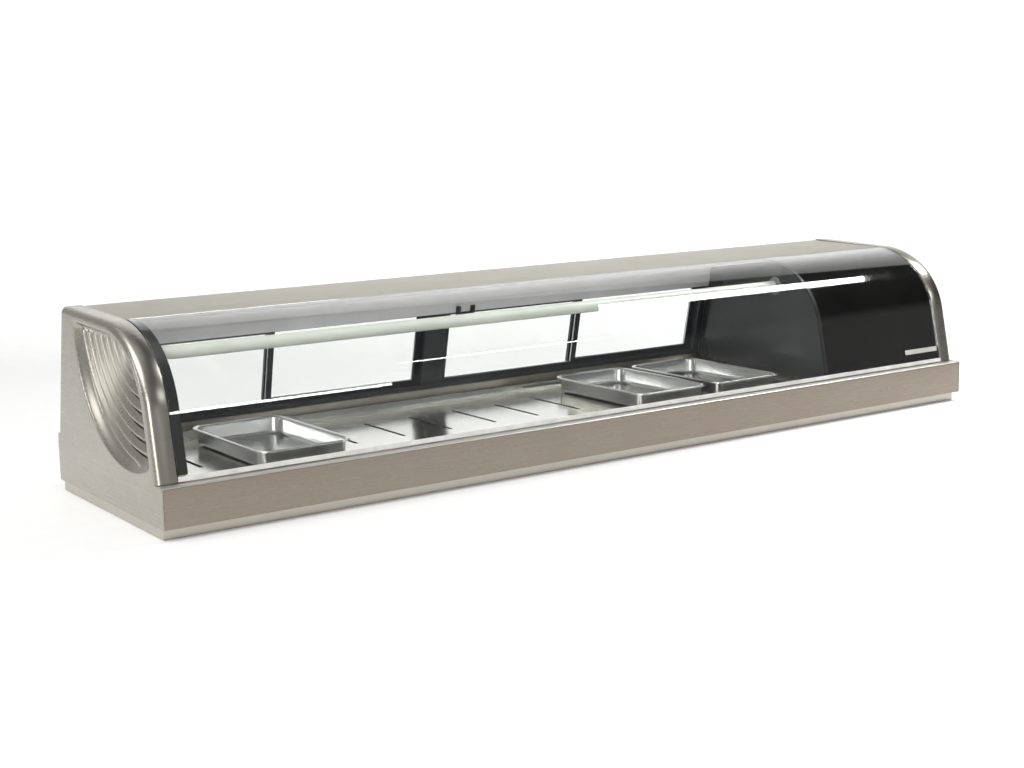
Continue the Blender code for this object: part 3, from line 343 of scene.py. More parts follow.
def glazed(name, tint, film, index):
    """Clear glazing with a very thin film of dust. Light passes straight through it."""
    look = Look(name, Roughness=0.0, IOR=index)
    look.shader.inputs["Transmission Weight"].default_value = 1.0
    smudge = look.noise(9.0, detail=5.0, rough=0.6)
    tone = look.blend(look.remap(smudge, 0.0, 1.0, 0.3, 0.75), tint, shade(tint, 0.985))
    look.finish(tone, look.remap(smudge, 0.0, film, 0.45, 0.8))
    tree = look.tree
    clear = tree.nodes.new("ShaderNodeBsdfTransparent")
    clear.inputs["Color"].default_value = (*shade(tint, 0.96), 1.0)
    path = tree.nodes.new("ShaderNodeLightPath")
    mix = tree.nodes.new("ShaderNodeMixShader")
    look.link(path.outputs["Is Shadow Ray"], mix.inputs["Fac"])
    look.link(look.shader.outputs[0], mix.inputs[1])
    look.link(clear.outputs[0], mix.inputs[2])
    look.link(mix.outputs[0], tree.nodes["Material Output"].inputs["Surface"])
    return look.material


STEEL_TONE = (0.42, 0.405, 0.36)
# Painted shade: the apron is the same stainless as the sides, given a darker, browner tone for the dark brown
# its front face reflects.
APRON_PAINTED_SHADE_TONE = (0.30, 0.262, 0.219)
STEEL_SIDE = brushed("brushed_steel_side", STEEL_TONE, "y", 0.27, 0.05, 0.07, True)
STEEL_TOP = brushed(
    "brushed_steel_top", (0.41, 0.396, 0.352), "x", 0.30, 0.06, 0.07, Specular_Tint=(0.76, 0.75, 0.72, 1.0)
)
STEEL_FRONT_PAINTED_SHADE = brushed("brushed_steel_front_painted_shade", APRON_PAINTED_SHADE_TONE, "x", 0.27, 0.06, 0.08)
STEEL_REAR = brushed("brushed_steel_rear", (0.52, 0.49, 0.44), "x", 0.30)
POLISHED = brushed("polished_steel", (0.68, 0.67, 0.64), "x", 0.17, 0.04, 0.05)
# Painted highlight: the ledge is the same sheet as the apron, given a much lighter tone so that it shows as a
# bright line.
LEDGE_STEEL_PAINTED_HIGHLIGHT = brushed("brushed_steel_ledge_painted_highlight", (0.68, 0.67, 0.64), "x", 0.42, 0.04, 0.05)
TRAY_STEEL = brushed("tray_steel", (0.66, 0.66, 0.65), "y", 0.20, 0.05, 0.05)
GALVANISED = spangled("galvanised_steel", (0.48, 0.49, 0.50))
ALUMINIUM = brushed("mill_aluminium", (0.74, 0.75, 0.76), "x", 0.34, 0.08, 0.02)
COPPER = tarnished("copper_tube", (0.70, 0.34, 0.20))
CLEAR = glazed("clear_glass", (0.965, 0.985, 0.975), 0.012, 1.47)
ACRYLIC = glazed("door_acrylic", (0.985, 0.99, 0.99), 0.001, 1.22)
BLACK_GLOSS = painted("black_gloss", (0.0035, 0.003, 0.003), 0.06, 260.0, 0.00001)
BLACK_PLASTIC = moulded("black_plastic", (0.022, 0.023, 0.026), 0.40)
RUBBER = moulded("black_seal", (0.006, 0.006, 0.006), 0.48, 900.0, 0.00006, Specular_IOR_Level=0.3)
GREY_SEAL = moulded("grey_seal", (0.16, 0.16, 0.155), 0.50, 900.0, 0.00006)
PALE_SEAL = moulded("pale_seal", (0.62, 0.61, 0.585), 0.42, 900.0, 0.00004)
PLATE = painted("silver_plate", (0.60, 0.585, 0.55), 0.38, Metallic=0.25)
LINER = painted("pale_liner", (0.78, 0.755, 0.775), 0.36)
COATED_PIPE = painted("coated_pipe", (0.555, 0.567, 0.52), 0.30, 700.0, 0.00006)
FOAM = foamed("insulation_foam", (0.75, 0.66, 0.42))
BLACK_PAINT = painted("black_enamel", (0.030, 0.030, 0.032), 0.30, 300.0, 0.00005)
WHITE_PLASTIC = moulded("white_plastic", (0.75, 0.75, 0.73), 0.36)
SCREW_STEEL = tarnished("screw_steel", (0.62, 0.62, 0.60), 0.30)

SLOT_LOOKS = {
    "brushed_stainless": STEEL_REAR,
    "polished_stainless": POLISHED,
    "galvanised_steel": GALVANISED,
    "evaporator_aluminium": ALUMINIUM,
    "copper_tube": COPPER,
    "clear_glass": CLEAR,
    "door_acrylic": ACRYLIC,
    "black_gloss": BLACK_GLOSS,
    "black_plastic": BLACK_PLASTIC,
    "black_seal": RUBBER,
    "grey_seal": GREY_SEAL,
    "pale_liner": LINER,
    "coated_pipe": COATED_PIPE,
    "insulation_foam": FOAM,
    "black_paint": BLACK_PAINT,
    "white_plastic": WHITE_PLASTIC,
}
SLOT_OF = {entry["node"]: entry["material_slot"] for entry in frame["record"]["subparts"]}
BODY_OF = {}
for body_name, members in frame["record"]["behaviour"]["bodies"].items():
    for member in members:
        BODY_OF[member] = body_name

for node_name, node_object in NODES.items():
    node_object.data.materials.clear()
    node_object.data.materials.append(SLOT_LOOKS[SLOT_OF[node_name]])


# ---------------------------------------------------------------- mesh helpers


def settle(piece, body, replaced=(), sharp=35):
    """Shades a finished piece, hangs it on its body and hides the nodes it replaces."""
    if piece.type == "MESH":
        piece.data.shade_smooth()
        piece.data.set_sharp_from_angle(angle=math.radians(sharp))
    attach(piece, body)
    if replaced:
        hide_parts(*replaced)
    return piece


def from_shape(name, shape, material):
    bmesh.ops.recalc_face_normals(shape, faces=shape.faces)
    mesh = bpy.data.meshes.new(name)
    shape.to_mesh(mesh)
    shape.free()
    mesh.materials.append(material)
    piece = bpy.data.objects.new(name, mesh)
    bpy.context.scene.collection.objects.link(piece)
    return piece


def bevelled(piece, width, segments=2, angle=40):
    modifier = piece.modifiers.new("edges", "BEVEL")
    modifier.width = width
    modifier.segments = segments
    modifier.limit_method = "ANGLE"
    modifier.angle_limit = math.radians(angle)
    return piece


def folded(name, path, thickness, left, right, material):
    """Sheet metal: a path carried along X, with the sheet centred on it."""
    outline = offset(path, thickness / 2) + list(reversed(offset(path, -thickness / 2)))
    shape = bmesh.new()
    one, two = ([shape.verts.new((x, y, z)) for y, z in outline] for x in (left, right))
    count = len(outline)
    for index in range(count):
        after = (index + 1) % count
        shape.faces.new((one[index], one[after], two[after], two[index]))
    shape.faces.new(one)
    shape.faces.new(list(reversed(two)))
    return from_shape(name, shape, material)


def lathe(name, profile, centre, axis, material, sides=48):
    """A (radius, height) profile turned about an axis; it ends on the axis or closes on itself."""
    shape = bmesh.new()
    turn = Vector((0, 0, 1)).rotation_difference(Vector(axis)).to_matrix()
    rings = []
    for radius, height in profile:
        ring = []
        for index in range(sides if radius > 1e-7 else 1):
            angle = 2 * math.pi * index / sides
            point = Vector((radius * math.cos(angle), radius * math.sin(angle), height))
            ring.append(shape.verts.new(Vector(centre) + turn @ point))
        rings.append(ring)
    for one, two in zip(rings, rings[1:]):
        for index in range(sides):
            after = (index + 1) % sides
            corners = []
            for corner in (
                one[index % len(one)],
                one[after % len(one)],
                two[after % len(two)],
                two[index % len(two)],
            ):
                if corner not in corners:
                    corners.append(corner)
            if len(corners) > 2:
                shape.faces.new(corners)
    return from_shape(name, shape, material)


def refined(node, width, segments=2, material=None):
    """The CAD shape with eased edges, standing for the node."""
    source = NODES[node]
    shape = bmesh.new()
    shape.from_mesh(source.data)
    bmesh.ops.remove_doubles(shape, verts=shape.verts, dist=0.00001)
    bmesh.ops.dissolve_limit(
        shape, angle_limit=math.radians(0.5), verts=shape.verts, edges=shape.edges, delimit={"NORMAL"}
    )
    piece = from_shape(node + "_finished", shape, material or SLOT_LOOKS[SLOT_OF[node]])
    bevelled(piece, width, segments)
    return settle(piece, BODY_OF[node], [node])


def pipe_along(name, points, radius, material, body, replaced=()):
    """A round tube through the points, with closed ends."""
    curve = bpy.data.curves.new(name, "CURVE")
    curve.dimensions = "3D"
    curve.bevel_depth = radius
    curve.bevel_resolution = 8
    curve.use_fill_caps = True
    spline = curve.splines.new("POLY")
    spline.points.add(len(points) - 1)
    for point, place in zip(spline.points, points):
        point.co = (*place, 1.0)
    spline.use_smooth = True
    curve.materials.append(material)
    piece = bpy.data.objects.new(name, curve)
    bpy.context.scene.collection.objects.link(piece)
    return settle(piece, body, replaced)


def baked_mesh(piece):
    """The piece's mesh with its modifiers applied."""
    bpy.context.view_layer.update()
    graph = bpy.context.evaluated_depsgraph_get()
    mesh = bpy.data.meshes.new_from_object(piece.evaluated_get(graph))
    bpy.data.objects.remove(piece, do_unlink=True)
    return mesh


def box_shape(low, high):
    shape = bmesh.new()
    middle = (Vector(low) + Vector(high)) / 2
    size = Vector(high) - Vector(low)
    matrix = Matrix.Translation(middle) @ Matrix.Diagonal((*size, 1.0))
    bmesh.ops.create_cube(shape, size=1.0, matrix=matrix)
    return shape


# ---------------------------------------------------------------- end panels

# Places are (y, z) on the side face. A rib's radius is that of the first one and the step to the next.
DISH_CENTRE, DISH_RADIUS = (-0.0845, 0.256), 0.183
DISH_DEPTH, DISH_SLOPE, DISH_INSET = 0.012, 0.017, 0.0125
RIB_CENTRE = (-0.125, 0.300)
RIB_TOP = (0.0966, 0.0205)
RIB_FOOT = (0.1130, 0.0181)
RIBS = 7
RIB_HEIGHT = 0.0052
# Where each slot starts and ends, in degrees below the horizontal through the ribs' centre.
SLOT_ANGLES = ((60, 81), (59, 89), (66, 94), (69, 95.5), (69, 96), (72, 95.5))


def smooth(value, low, high):
    t = min(1.0, max(0.0, (value - low) / (high - low)))
    return t * t * (3 - 2 * t)


def outline_inset(y, z, outline):
    """Distance of a point inside the side face from the face's rim, negative outside it."""
    best = 1.0
    for (ay, az), (by, bz) in zip(outline, outline[1:]):
        dy, dz = by - ay, bz - az
        best = min(best, ((y - ay) * dz - (z - az) * dy) / math.hypot(dy, dz))
    return best


def rib_radius(index, angle):
    t = smooth(angle, math.radians(15), math.radians(78))
    return (RIB_TOP[0] + RIB_TOP[1] * index) * (1 - t) + (RIB_FOOT[0] + RIB_FOOT[1] * index) * t


def dish(y, z, outline):
    """How far the side of an end panel is pressed in at a point."""
    rim = DISH_RADIUS - math.hypot(y - DISH_CENTRE[0], z - DISH_CENTRE[1])
    if rim <= 0:
        return 0.0
    inset = outline_inset(y, z, outline) - DISH_INSET
    if inset <= 0:
        return 0.0
    depth = DISH_DEPTH * smooth(rim, 0, DISH_SLOPE) * smooth(inset, 0, 0.011)
    radius = math.hypot(y - RIB_CENTRE[0], z - RIB_CENTRE[1])
    angle = math.atan2(RIB_CENTRE[1] - z, y - RIB_CENTRE[0])
    raised = 0.0
    for index in range(RIBS):
        crest = rib_radius(index, angle)
        gap = crest - radius
        if 0.0015 < gap < 0.0190:
            swell = smooth(gap, 0.0190, 0.0065) * smooth(gap, 0.0015, 0.0060)
            raised = max(raised, swell)
    fade = smooth(z, 0.2515, 0.2405) * smooth(angle, math.radians(107), math.radians(97))
    return depth - RIB_HEIGHT * raised * fade * smooth(rim, 0.004, 0.018) * smooth(inset, 0.0, 0.010)


def pan_ring(inset):
    """(y, z) round the side face above the base, from the ledge over the top to the rear plane."""
    front = front_profile(inset, front_start(LEDGE_Z + 0.0009, inset))
    peak = rear_at(0.270 - inset, inset)
    low_end = rear_point(0.0012, inset)
    corner = fillet([front[-1], peak, low_end], CORNER - inset, 8)
    return front + corner[1:]


def slot_cutter(side):
    """The six louvre slots, as one cutter."""
    shape = bmesh.new()
    for index, (first, last) in enumerate(SLOT_ANGLES):
        first, last = math.radians(first), math.radians(last)
        steps = 14
        grid = []
        for step in range(steps + 1):
            angle = first + (last - first) * step / steps
            middle = rib_radius(index, angle) + 0.0002
            half = 0.0012 if 0 < step < steps else 0.0005
            ring = []
            for x, reach in (
                (HALF + 0.004, middle - half),
                (HALF + 0.004, middle + half),
                (HALF - 0.022, middle + half),
                (HALF - 0.022, middle - half),
            ):
                y = RIB_CENTRE[0] + reach * math.cos(angle)
                z = RIB_CENTRE[1] - reach * math.sin(angle)
                ring.append(shape.verts.new((side * x, y, z)))
            grid.append(ring)
        for one, two in zip(grid, grid[1:]):
            for a in range(4):
                b = (a + 1) % 4
                shape.faces.new((one[a], one[b], two[b], two[a]))
        shape.faces.new(grid[0])
        shape.faces.new(list(reversed(grid[-1])))
    return from_shape("slots", shape, BLACK_PAINT)


def end_panel(side):
    """A pressed sheet: flat side with its dish, rounded shoulder, and a flange that frames the glass."""
    name = "end_panel_right" if side > 0 else "end_panel_left"
    shoulder = 0.009
    steps = 8
    rings = []
    shape = bmesh.new()
    for step in range(steps + 1):
        angle = math.pi / 2 * step / steps
        x = HALF - shoulder + shoulder * math.cos(angle)
        inset = shoulder - shoulder * math.sin(angle)
        rings.append([shape.verts.new((side * x, y, z)) for y, z in pan_ring(inset)])
    lip = FLANGE_X
    rings.append([shape.verts.new((side * (lip + 0.0012), y, z)) for y, z in pan_ring(0.0)])
    rings.append([shape.verts.new((side * lip, y, z)) for y, z in pan_ring(0.0008)])
    for outer, inner in zip(rings, rings[1:]):
        for a, b, c, d in zip(outer, outer[1:], inner[1:], inner):
            shape.faces.new((a, b, c, d))
    foot = [(REAR_FOOT_Y, REAR_FOOT_Z), (REAR, LEDGE_Z + 0.001), (REAR, FLOOR)]
    foot += [(FRONT, FLOOR), (FRONT, LEDGE_Z)]
    loop = rings[0] + [shape.verts.new((side * HALF, y, z)) for y, z in foot]
    edges = []
    for a, b in zip(loop, loop[1:] + loop[:1]):
        edges.append(shape.edges.get((a, b)) or shape.edges.new((a, b)))

    rim = pan_ring(0.0)
    pitch = 0.0016
    low_y, low_z, across, up = -0.168, 0.068, 172, 120
    depths = {}
    for column in range(across + 1):
        for row in range(up + 1):
            y, z = low_y + column * pitch, low_z + row * pitch
            if math.hypot(y - DISH_CENTRE[0], z - DISH_CENTRE[1]) < DISH_RADIUS:
                value = dish(y, z, rim)
                if value > 0:
                    depths[column, row] = value
    cells = set()
    for column, row in depths:
        for back in (0, 1):
            for down in (0, 1):
                cells.add((column - back, row - down))
    corners = {}

    def corner_at(column, row):
        if (column, row) not in corners:
            inwards = depths.get((column, row), 0.0)
            place = (side * (HALF - inwards), low_y + column * pitch, low_z + row * pitch)
            corners[column, row] = shape.verts.new(place)
        return corners[column, row]

    pressed = []
    for column, row in sorted(cells):
        pressed.append(
            shape.faces.new(
                [
                    corner_at(column, row),
                    corner_at(column + 1, row),
                    corner_at(column + 1, row + 1),
                    corner_at(column, row + 1),
                ]
            )
        )
    rim_edges = [edge for edge in {e for face in pressed for e in face.edges} if len(edge.link_faces) == 1]
    bmesh.ops.triangle_fill(
        shape, edges=edges + rim_edges, use_beauty=True, use_dissolve=False, normal=(side, 0, 0)
    )
    panel = from_shape(name + "_pressed", shape, STEEL_SIDE)
    if sum(p.normal.x * p.area for p in panel.data.polygons) * side < 0:
        panel.data.flip_normals()
    solidify = panel.modifiers.new("thickness", "SOLIDIFY")
    solidify.thickness = 0.0018
    solidify.offset = -1.0
    solidify.use_even_offset = False
    cutter = slot_cutter(side)
    boolean = panel.modifiers.new("slots", "BOOLEAN")
    boolean.operation = "DIFFERENCE"
    boolean.object = cutter
    boolean.solver = "MANIFOLD"
    mesh = baked_mesh(panel)
    bpy.data.objects.remove(cutter, do_unlink=True)
    piece = bpy.data.objects.new(name + "_pressed", mesh)
    bpy.context.scene.collection.objects.link(piece)
    return settle(piece, "case", [name], 42)


end_panel(-1)
end_panel(1)

# ---------------------------------------------------------------- front


def front_apron():
    """The apron and the ledge behind it, in one folded sheet. The apron's steel is darker and browner as
    painted shade, and the ledge's is lighter as a painted highlight.
    """
    back = FRONT + LEDGE_DEPTH
    face = [(FRONT, FLOOR), (FRONT, LEDGE_Z), (back, LEDGE_Z), (back, LEDGE_LIP_Z)]
    path = offset(fillet(face, 0.0022, 8), SHEET / 2)
    apron = folded("front_apron_folded", path, SHEET, -APRON_END, APRON_END, STEEL_FRONT_PAINTED_SHADE)
    apron.data.materials.append(LEDGE_STEEL_PAINTED_HIGHLIGHT)
    # Faces that look up along the ledge take the lighter steel as a painted highlight, and the rest of the
    # sheet keeps the darker painted shade.
    for polygon in apron.data.polygons:
        if polygon.normal.z > 0.35 and polygon.center.z > LEDGE_LIP_Z:
            polygon.material_index = 1
    bevelled(apron, 0.0004, 2)
    settle(apron, "case", ["front_apron"])


front_apron()


def curved_sheet(name, inset, start, thickness, left, right, material, edge):
    """A sheet bent to the curve of the front, at a distance inside it."""
    path = front_profile(inset, start)
    piece = folded(name, path, thickness, left, right, material)
    bevelled(piece, edge, 2, 60)
    return piece


glass = curved_sheet("front_glass_bent", GLASS / 2, 0.0034, GLASS, -BAY_END, BAY_END, CLEAR, 0.0006)
settle(glass, "case", ["front_glass"], 30)
cover_inset = GLASS + 0.0004 + SHEET / 2
cover = curved_sheet(
    "machine_cover_gloss", cover_inset, 0.0100, SHEET, MACHINE_LEFT, BAY_END, BLACK_GLOSS, 0.0003
)
settle(cover, "case", ["machine_cover"], 30)
seal = curved_sheet(
    "glass_seal_left_moulded", GLASS + 0.0033, 0.0100, 0.0060, -BAY_END, DISPLAY_LEFT - 0.0004, RUBBER, 0.0010
)
settle(seal, "case", ["glass_seal_left"], 30)
joint_left, joint_right = WALL_LEFT - 0.002, MACHINE_LEFT - 0.0004
joint_seal = curved_sheet(
    "partition_seal_moulded", GLASS + 0.0015, 0.0100, 0.0022, joint_left, joint_right, RUBBER, 0.0004
)
settle(joint_seal, "case", ["partition_seal"], 30)

# ---------------------------------------------------------------- top


def top_cover():
    """Folded sheet with a short front lip and a rear skirt."""
    back = rear_at(0.2684)
    skirt_end = rear_point(0.128, 0.0)
    front_edge = (-0.0197, 0.2640)
    face = [(-0.0197, 0.2575), front_edge, back, skirt_end]
    rounded_front = fillet(face[:3], 0.0012, 5)
    rounded_back = fillet(face[1:], CORNER, 12)
    path = rounded_front[:-1] + rounded_back[1:]
    cover_sheet = folded("top_cover_folded", offset(path, SHEET / 2), SHEET, -BAY_END, BAY_END, STEEL_TOP)
    bevelled(cover_sheet, 0.0004, 2, 60)
    settle(cover_sheet, "case", ["top_cover"])


top_cover()


def ceiling():
    """Inner lining of the head, with a step in its rear leaf."""
    depth, bottom = 0.0270, 0.1315
    step_at = bottom + 0.018
    face = [
        (-0.0165, 0.2560),
        rear_at(0.2590, depth - 0.0020),
        rear_point(step_at + 0.002, depth - 0.0020),
        rear_point(step_at, depth),
        rear_point(bottom, depth),
    ]
    path = offset(fillet(face, 0.0030, 6), -0.0006)
    left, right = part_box("ceiling_panel")[0].x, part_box("ceiling_panel")[1].x
    lining = folded("ceiling_panel_folded", path, 0.0012, left, right, LINER)
    settle(lining, "case", ["ceiling_panel"])


ceiling()

# ---------------------------------------------------------------- cooling pipe

PIPE_Y, PIPE_Z, PIPE_R = -0.040, 0.2163, 0.00925


def cooling_pipe():
    """The upper pipe with its bend back into the header, and a collar at each end."""
    low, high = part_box("cooling_pipe")
    bend, turn_x = 0.030, -0.652
    points = [(high.x, PIPE_Y, PIPE_Z), (turn_x, PIPE_Y, PIPE_Z)]
    for step in range(1, 17):
        angle = math.pi / 2 * step / 16
        points.append(
            (turn_x - bend * math.sin(angle), PIPE_Y + bend * (1 - math.cos(angle)), PIPE_Z)
        )
    points.append((turn_x - bend, high.y, PIPE_Z))
    pipe_along("cooling_pipe_coated", points, PIPE_R, COATED_PIPE, "case", ["cooling_pipe"])
    header_y = rear_at(PIPE_Z, 0.0270)[0]
    collar = [
        (PIPE_R + 0.0003, 0.0),
        (PIPE_R + 0.0060, 0.0),
        (PIPE_R + 0.0056, -0.0018),
        (PIPE_R + 0.0016, -0.0030),
        (PIPE_R + 0.0012, -0.0052),
        (PIPE_R + 0.0003, -0.0052),
        (PIPE_R + 0.0003, 0.0),
    ]
    ring = lathe("pipe_collar_rear", collar, (turn_x - bend, header_y - 0.0006, PIPE_Z), (0, 1, 0), GREY_SEAL)
    settle(ring, "case")
    ring = lathe("pipe_collar_side", collar, (WALL_LEFT - 0.0003, PIPE_Y, PIPE_Z), (1, 0, 0), GREY_SEAL)
    settle(ring, "case")


cooling_pipe()

# ---------------------------------------------------------------- food trays


def rounded_rectangle(half_x, half_y, radius, z, steps=8):
    points = []
    for quarter in range(4):
        centre_x = (half_x - radius) * (1 if quarter in (0, 3) else -1)
        centre_y = (half_y - radius) * (1 if quarter in (0, 1) else -1)
        for step in range(steps + 1):
            angle = math.pi / 2 * (quarter + step / steps)
            points.append((centre_x + radius * math.cos(angle), centre_y + radius * math.sin(angle), z))
    return points


def tray(number):
    """A drawn tray with a flat rim and rounded corners."""
    node = f"food_tray_{number}"
    low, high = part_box(node)
    centre = (low + high) / 2
    half_x, half_y = (high.x - low.x) / 2, (high.y - low.y) / 2
    top, base = high.z, low.z
    rim, wall = 0.006, 0.0009
    levels = [
        (0.0, 0.0190, top - 0.0022),
        (0.0, 0.0190, top - 0.0008),
        (0.0009, 0.0182, top),
        (rim - 0.0022, 0.0165, top),
        (rim - 0.0004, 0.0152, top - 0.0009),
        (rim + 0.0005, 0.0145, top - 0.0030),
        (rim + 0.0012, 0.0140, base + wall + 0.0060),
        (rim + 0.0024, 0.0130, base + wall + 0.0022),
        (rim + 0.0060, 0.0100, base + wall + 0.0002),
        (rim + 0.0100, 0.0080, base + wall),
    ]
    outer = [
        (rim + 0.0098, 0.0080, base),
        (rim + 0.0056, 0.0105, base + 0.0002),
        (rim + 0.0014, 0.0138, base + 0.0022),
        (rim + 0.0003, 0.0148, base + 0.0064),
        (rim - 0.0004, 0.0154, top - 0.0034),
        (rim - 0.0012, 0.0160, top - 0.0012),
        (0.0016, 0.0178, top - 0.0010),
        (0.0008, 0.0184, top - 0.0022),
    ]
    shape = bmesh.new()
    rings = []
    for inset, radius, z in outer + levels:
        ring = []
        for x, y, height in rounded_rectangle(half_x - inset, half_y - inset, radius, z):
            ring.append(shape.verts.new((centre.x + x, centre.y + y, height)))
        rings.append(ring)
    count = len(rings[0])
    for one, two in zip(rings, rings[1:]):
        for index in range(count):
            after = (index + 1) % count
            shape.faces.new((one[index], one[after], two[after], two[index]))
    shape.faces.new(list(reversed(rings[0])))
    shape.faces.new(rings[-1])
    bmesh.ops.remove_doubles(shape, verts=shape.verts, dist=0.00001)
    piece = from_shape(node + "_drawn", shape, TRAY_STEEL)
    settle(piece, f"tray_{number}", [node], 50)


for tray_number in (1, 2, 3):
    tray(tray_number)

# ---------------------------------------------------------------- eased copies of the plainer nodes

for node, width in (
    ("plinth_frame", 0.0008),
    ("rear_base_panel", 0.0004),
    ("service_panel", 0.0003),
    ("partition_wall", 0.0005),
    ("door_stop_bracket", 0.0008),
    ("centre_mullion", 0.0012),
    ("jamb_left", 0.0010),
    ("jamb_right", 0.0010),
    ("lower_track", 0.0002),
    ("upper_track", 0.0002),
    ("glass_seal_top", 0.0006),
    ("power_switch", 0.0006),
    ("inner_tank", 0.0005),
    ("display_deck", 0.0005),
    ("side_liner", 0.0004),
):
    refined(node, width)
refined("name_plate", 0.0003, 2, PLATE)
refined("glass_channel", 0.0002, 2, PALE_SEAL)
for number in (1, 2, 3, 4):
    refined(f"door_frame_{number}", 0.0009, 3)
    refined(f"door_pane_{number}", 0.0004, 1)

# ---------------------------------------------------------------- controls and fixings at the rear

CONTROL_UP = 0.108
KNOB_X, SWITCH_X, GLAND_X, GLAND_UP = 0.680, 0.640, 0.600, 0.030


def screw_head():
    """A pan head with a cross recess, its seat on the origin and facing +Z."""
    dome = [(0.0, 0.0014), (0.0008, 0.00139), (0.0016, 0.00125), (0.0023, 0.00095), (0.0027, 0.0005)]
    profile = dome + [(0.0028, 0.0), (0.0028, -0.0004), (0.0, -0.0004)]
    head = lathe("head", profile, (0, 0, 0), (0, 0, 1), SCREW_STEEL, 20)
    for size in ((0.0016, 0.00042), (0.00042, 0.0016)):
        arm = box_shape((-size[0], -size[1], 0.0006), (size[0], size[1], 0.0030))
        cutter = from_shape("cross", arm, SCREW_STEEL)
        boolean = head.modifiers.new("recess", "BOOLEAN")
        boolean.operation = "DIFFERENCE"
        boolean.object = cutter
        boolean.solver = "MANIFOLD"
        mesh = baked_mesh(head)
        bpy.data.objects.remove(cutter, do_unlink=True)
        head = bpy.data.objects.new("head", mesh)
        bpy.context.scene.collection.objects.link(head)
    bpy.data.objects.remove(head, do_unlink=True)
    return mesh


SCREW_HEAD = screw_head()


def screws(name, places, normal):
    """One set of screws, each with its recess turned at random."""
    shape = bmesh.new()
    turn = Vector((0, 0, 1)).rotation_difference(normal)
    for place in places:
        twist = Matrix.Rotation(random.uniform(0, math.pi), 4, "Z")
        before = len(shape.verts)
        shape.from_mesh(SCREW_HEAD)
        shape.verts.ensure_lookup_table()
        matrix = Matrix.Translation(place) @ turn.to_matrix().to_4x4() @ twist
        bmesh.ops.transform(shape, matrix=matrix, verts=shape.verts[before:])
    settle(from_shape(name, shape, SCREW_STEEL), "case", (), 30)


panel_left, panel_right = MACHINE_LEFT + 0.009, BAY_END - 0.009
panel_middle = (panel_left + panel_right) / 2
screws(
    "service_panel_screws",
    [rear_place(x, up) for x in (panel_left, panel_middle, panel_right) for up in (0.010, 0.119)],
    REAR_NORMAL,
)
screws("skirt_screws", [rear_place(x, 0.1350) for x in (-0.69, -0.345, 0.0, 0.345, 0.69)], REAR_NORMAL)
screws(
    "flange_screws",
    [rear_place(x, up) for x in (-0.735, 0.735) for up in (0.018, 0.070, 0.122)],
    REAR_NORMAL,
)


def thermostat():
    """The dial plate with its ticks, and the ridged knob with its pointer."""
    centre = rear_place(KNOB_X, CONTROL_UP)
    inner, outer, high, chamfer = 0.0148, 0.0196, 0.0003, 0.0001
    profile = [
        (inner, 0.0),
        (outer, 0.0),
        (outer, high - chamfer),
        (outer - 0.00012, high),
        (inner + 0.00012, high),
        (inner, high - chamfer),
        (inner, 0.0),
    ]
    dial = lathe("thermostat_dial", profile, centre, REAR_NORMAL, PLATE, 64)
    settle(dial, "case")
    across, up = Vector((-1, 0, 0)), Vector((0, -math.sin(REAR_LEAN), math.cos(REAR_LEAN)))
    shape = bmesh.new()
    for tick in range(13):
        angle = math.radians(225 - 270 * tick / 12)
        out = across * math.cos(angle) + up * math.sin(angle)
        along = across * -math.sin(angle) + up * math.cos(angle)
        half = 0.00035 if tick % 3 == 0 else 0.00018
        inner = 0.0158 if tick % 3 == 0 else 0.0168
        corners = []
        for lift in (0.0002, 0.00042):
            for reach, step in ((inner, -half), (0.0190, -half), (0.0190, half), (inner, half)):
                corners.append(shape.verts.new(centre + out * reach + along * step + REAR_NORMAL * lift))
        for face in ((0, 1, 2, 3), (7, 6, 5, 4), (0, 4, 5, 1), (1, 5, 6, 2), (2, 6, 7, 3), (3, 7, 4, 0)):
            shape.faces.new([corners[index] for index in face])
    settle(from_shape("thermostat_ticks", shape, BLACK_PLASTIC), "case")

    shape = bmesh.new()
    turn = Vector((0, 0, 1)).rotation_difference(REAR_NORMAL).to_matrix()
    sides, rings = 144, []
    levels = (
        (0.0, 0.0116, 0),
        (0.0086, 0.0117, 0),
        (0.0098, 0.0124, 0),
        (0.0108, 0.0125, 0.15),
        (0.0116, 0.0121, 0.6),
        (0.0119, 0.0113, 1),
        (0.0123, 0.0036, 1),
        (0.0126, 0.0030, 0.3),
        (0.0138, 0.0026, 0),
        (0.0140, 0.0021, 0),
        (0.0140, 0.0010, 0),
        (0.0138, 0.0008, 0),
        (0.0031, 0.0008, 0),
        (0.0030, -0.0065, 0),
        (0.0, -0.0065, 0),
    )
    for radius, height, ridge in levels:
        ring = []
        for index in range(sides if radius else 1):
            angle = 2 * math.pi * index / sides
            depth = 0.00035 * ridge * (1 - math.cos(angle * 24)) / 2
            reach = radius - depth
            local = Vector((reach * math.cos(angle), reach * math.sin(angle), height))
            ring.append(shape.verts.new(centre + turn @ local))
        rings.append(ring)
    for one, two in zip(rings, rings[1:]):
        for index in range(sides):
            after = (index + 1) % sides
            if len(one) == 1:
                shape.faces.new((one[0], two[after], two[index]))
            elif len(two) == 1:
                shape.faces.new((one[index], one[after], two[0]))
            else:
                shape.faces.new((one[index], one[after], two[after], two[index]))
    knob = from_shape("thermostat_knob_ridged", shape, BLACK_PLASTIC)
    settle(knob, "knob", ["thermostat_knob"], 50)
    pointer = bmesh.new()
    corners = []
    for lift in (0.0110, 0.0128):
        for step, reach in ((-0.0005, 0.0020), (0.0005, 0.0020), (0.0005, 0.0106), (-0.0005, 0.0106)):
            corners.append(pointer.verts.new(centre + across * step + up * reach + REAR_NORMAL * lift))
    for face in ((0, 1, 2, 3), (7, 6, 5, 4), (0, 4, 5, 1), (1, 5, 6, 2), (2, 6, 7, 3), (3, 7, 4, 0)):
        pointer.faces.new([corners[index] for index in face])
    settle(from_shape("knob_pointer", pointer, WHITE_PLASTIC), "knob")


thermostat()


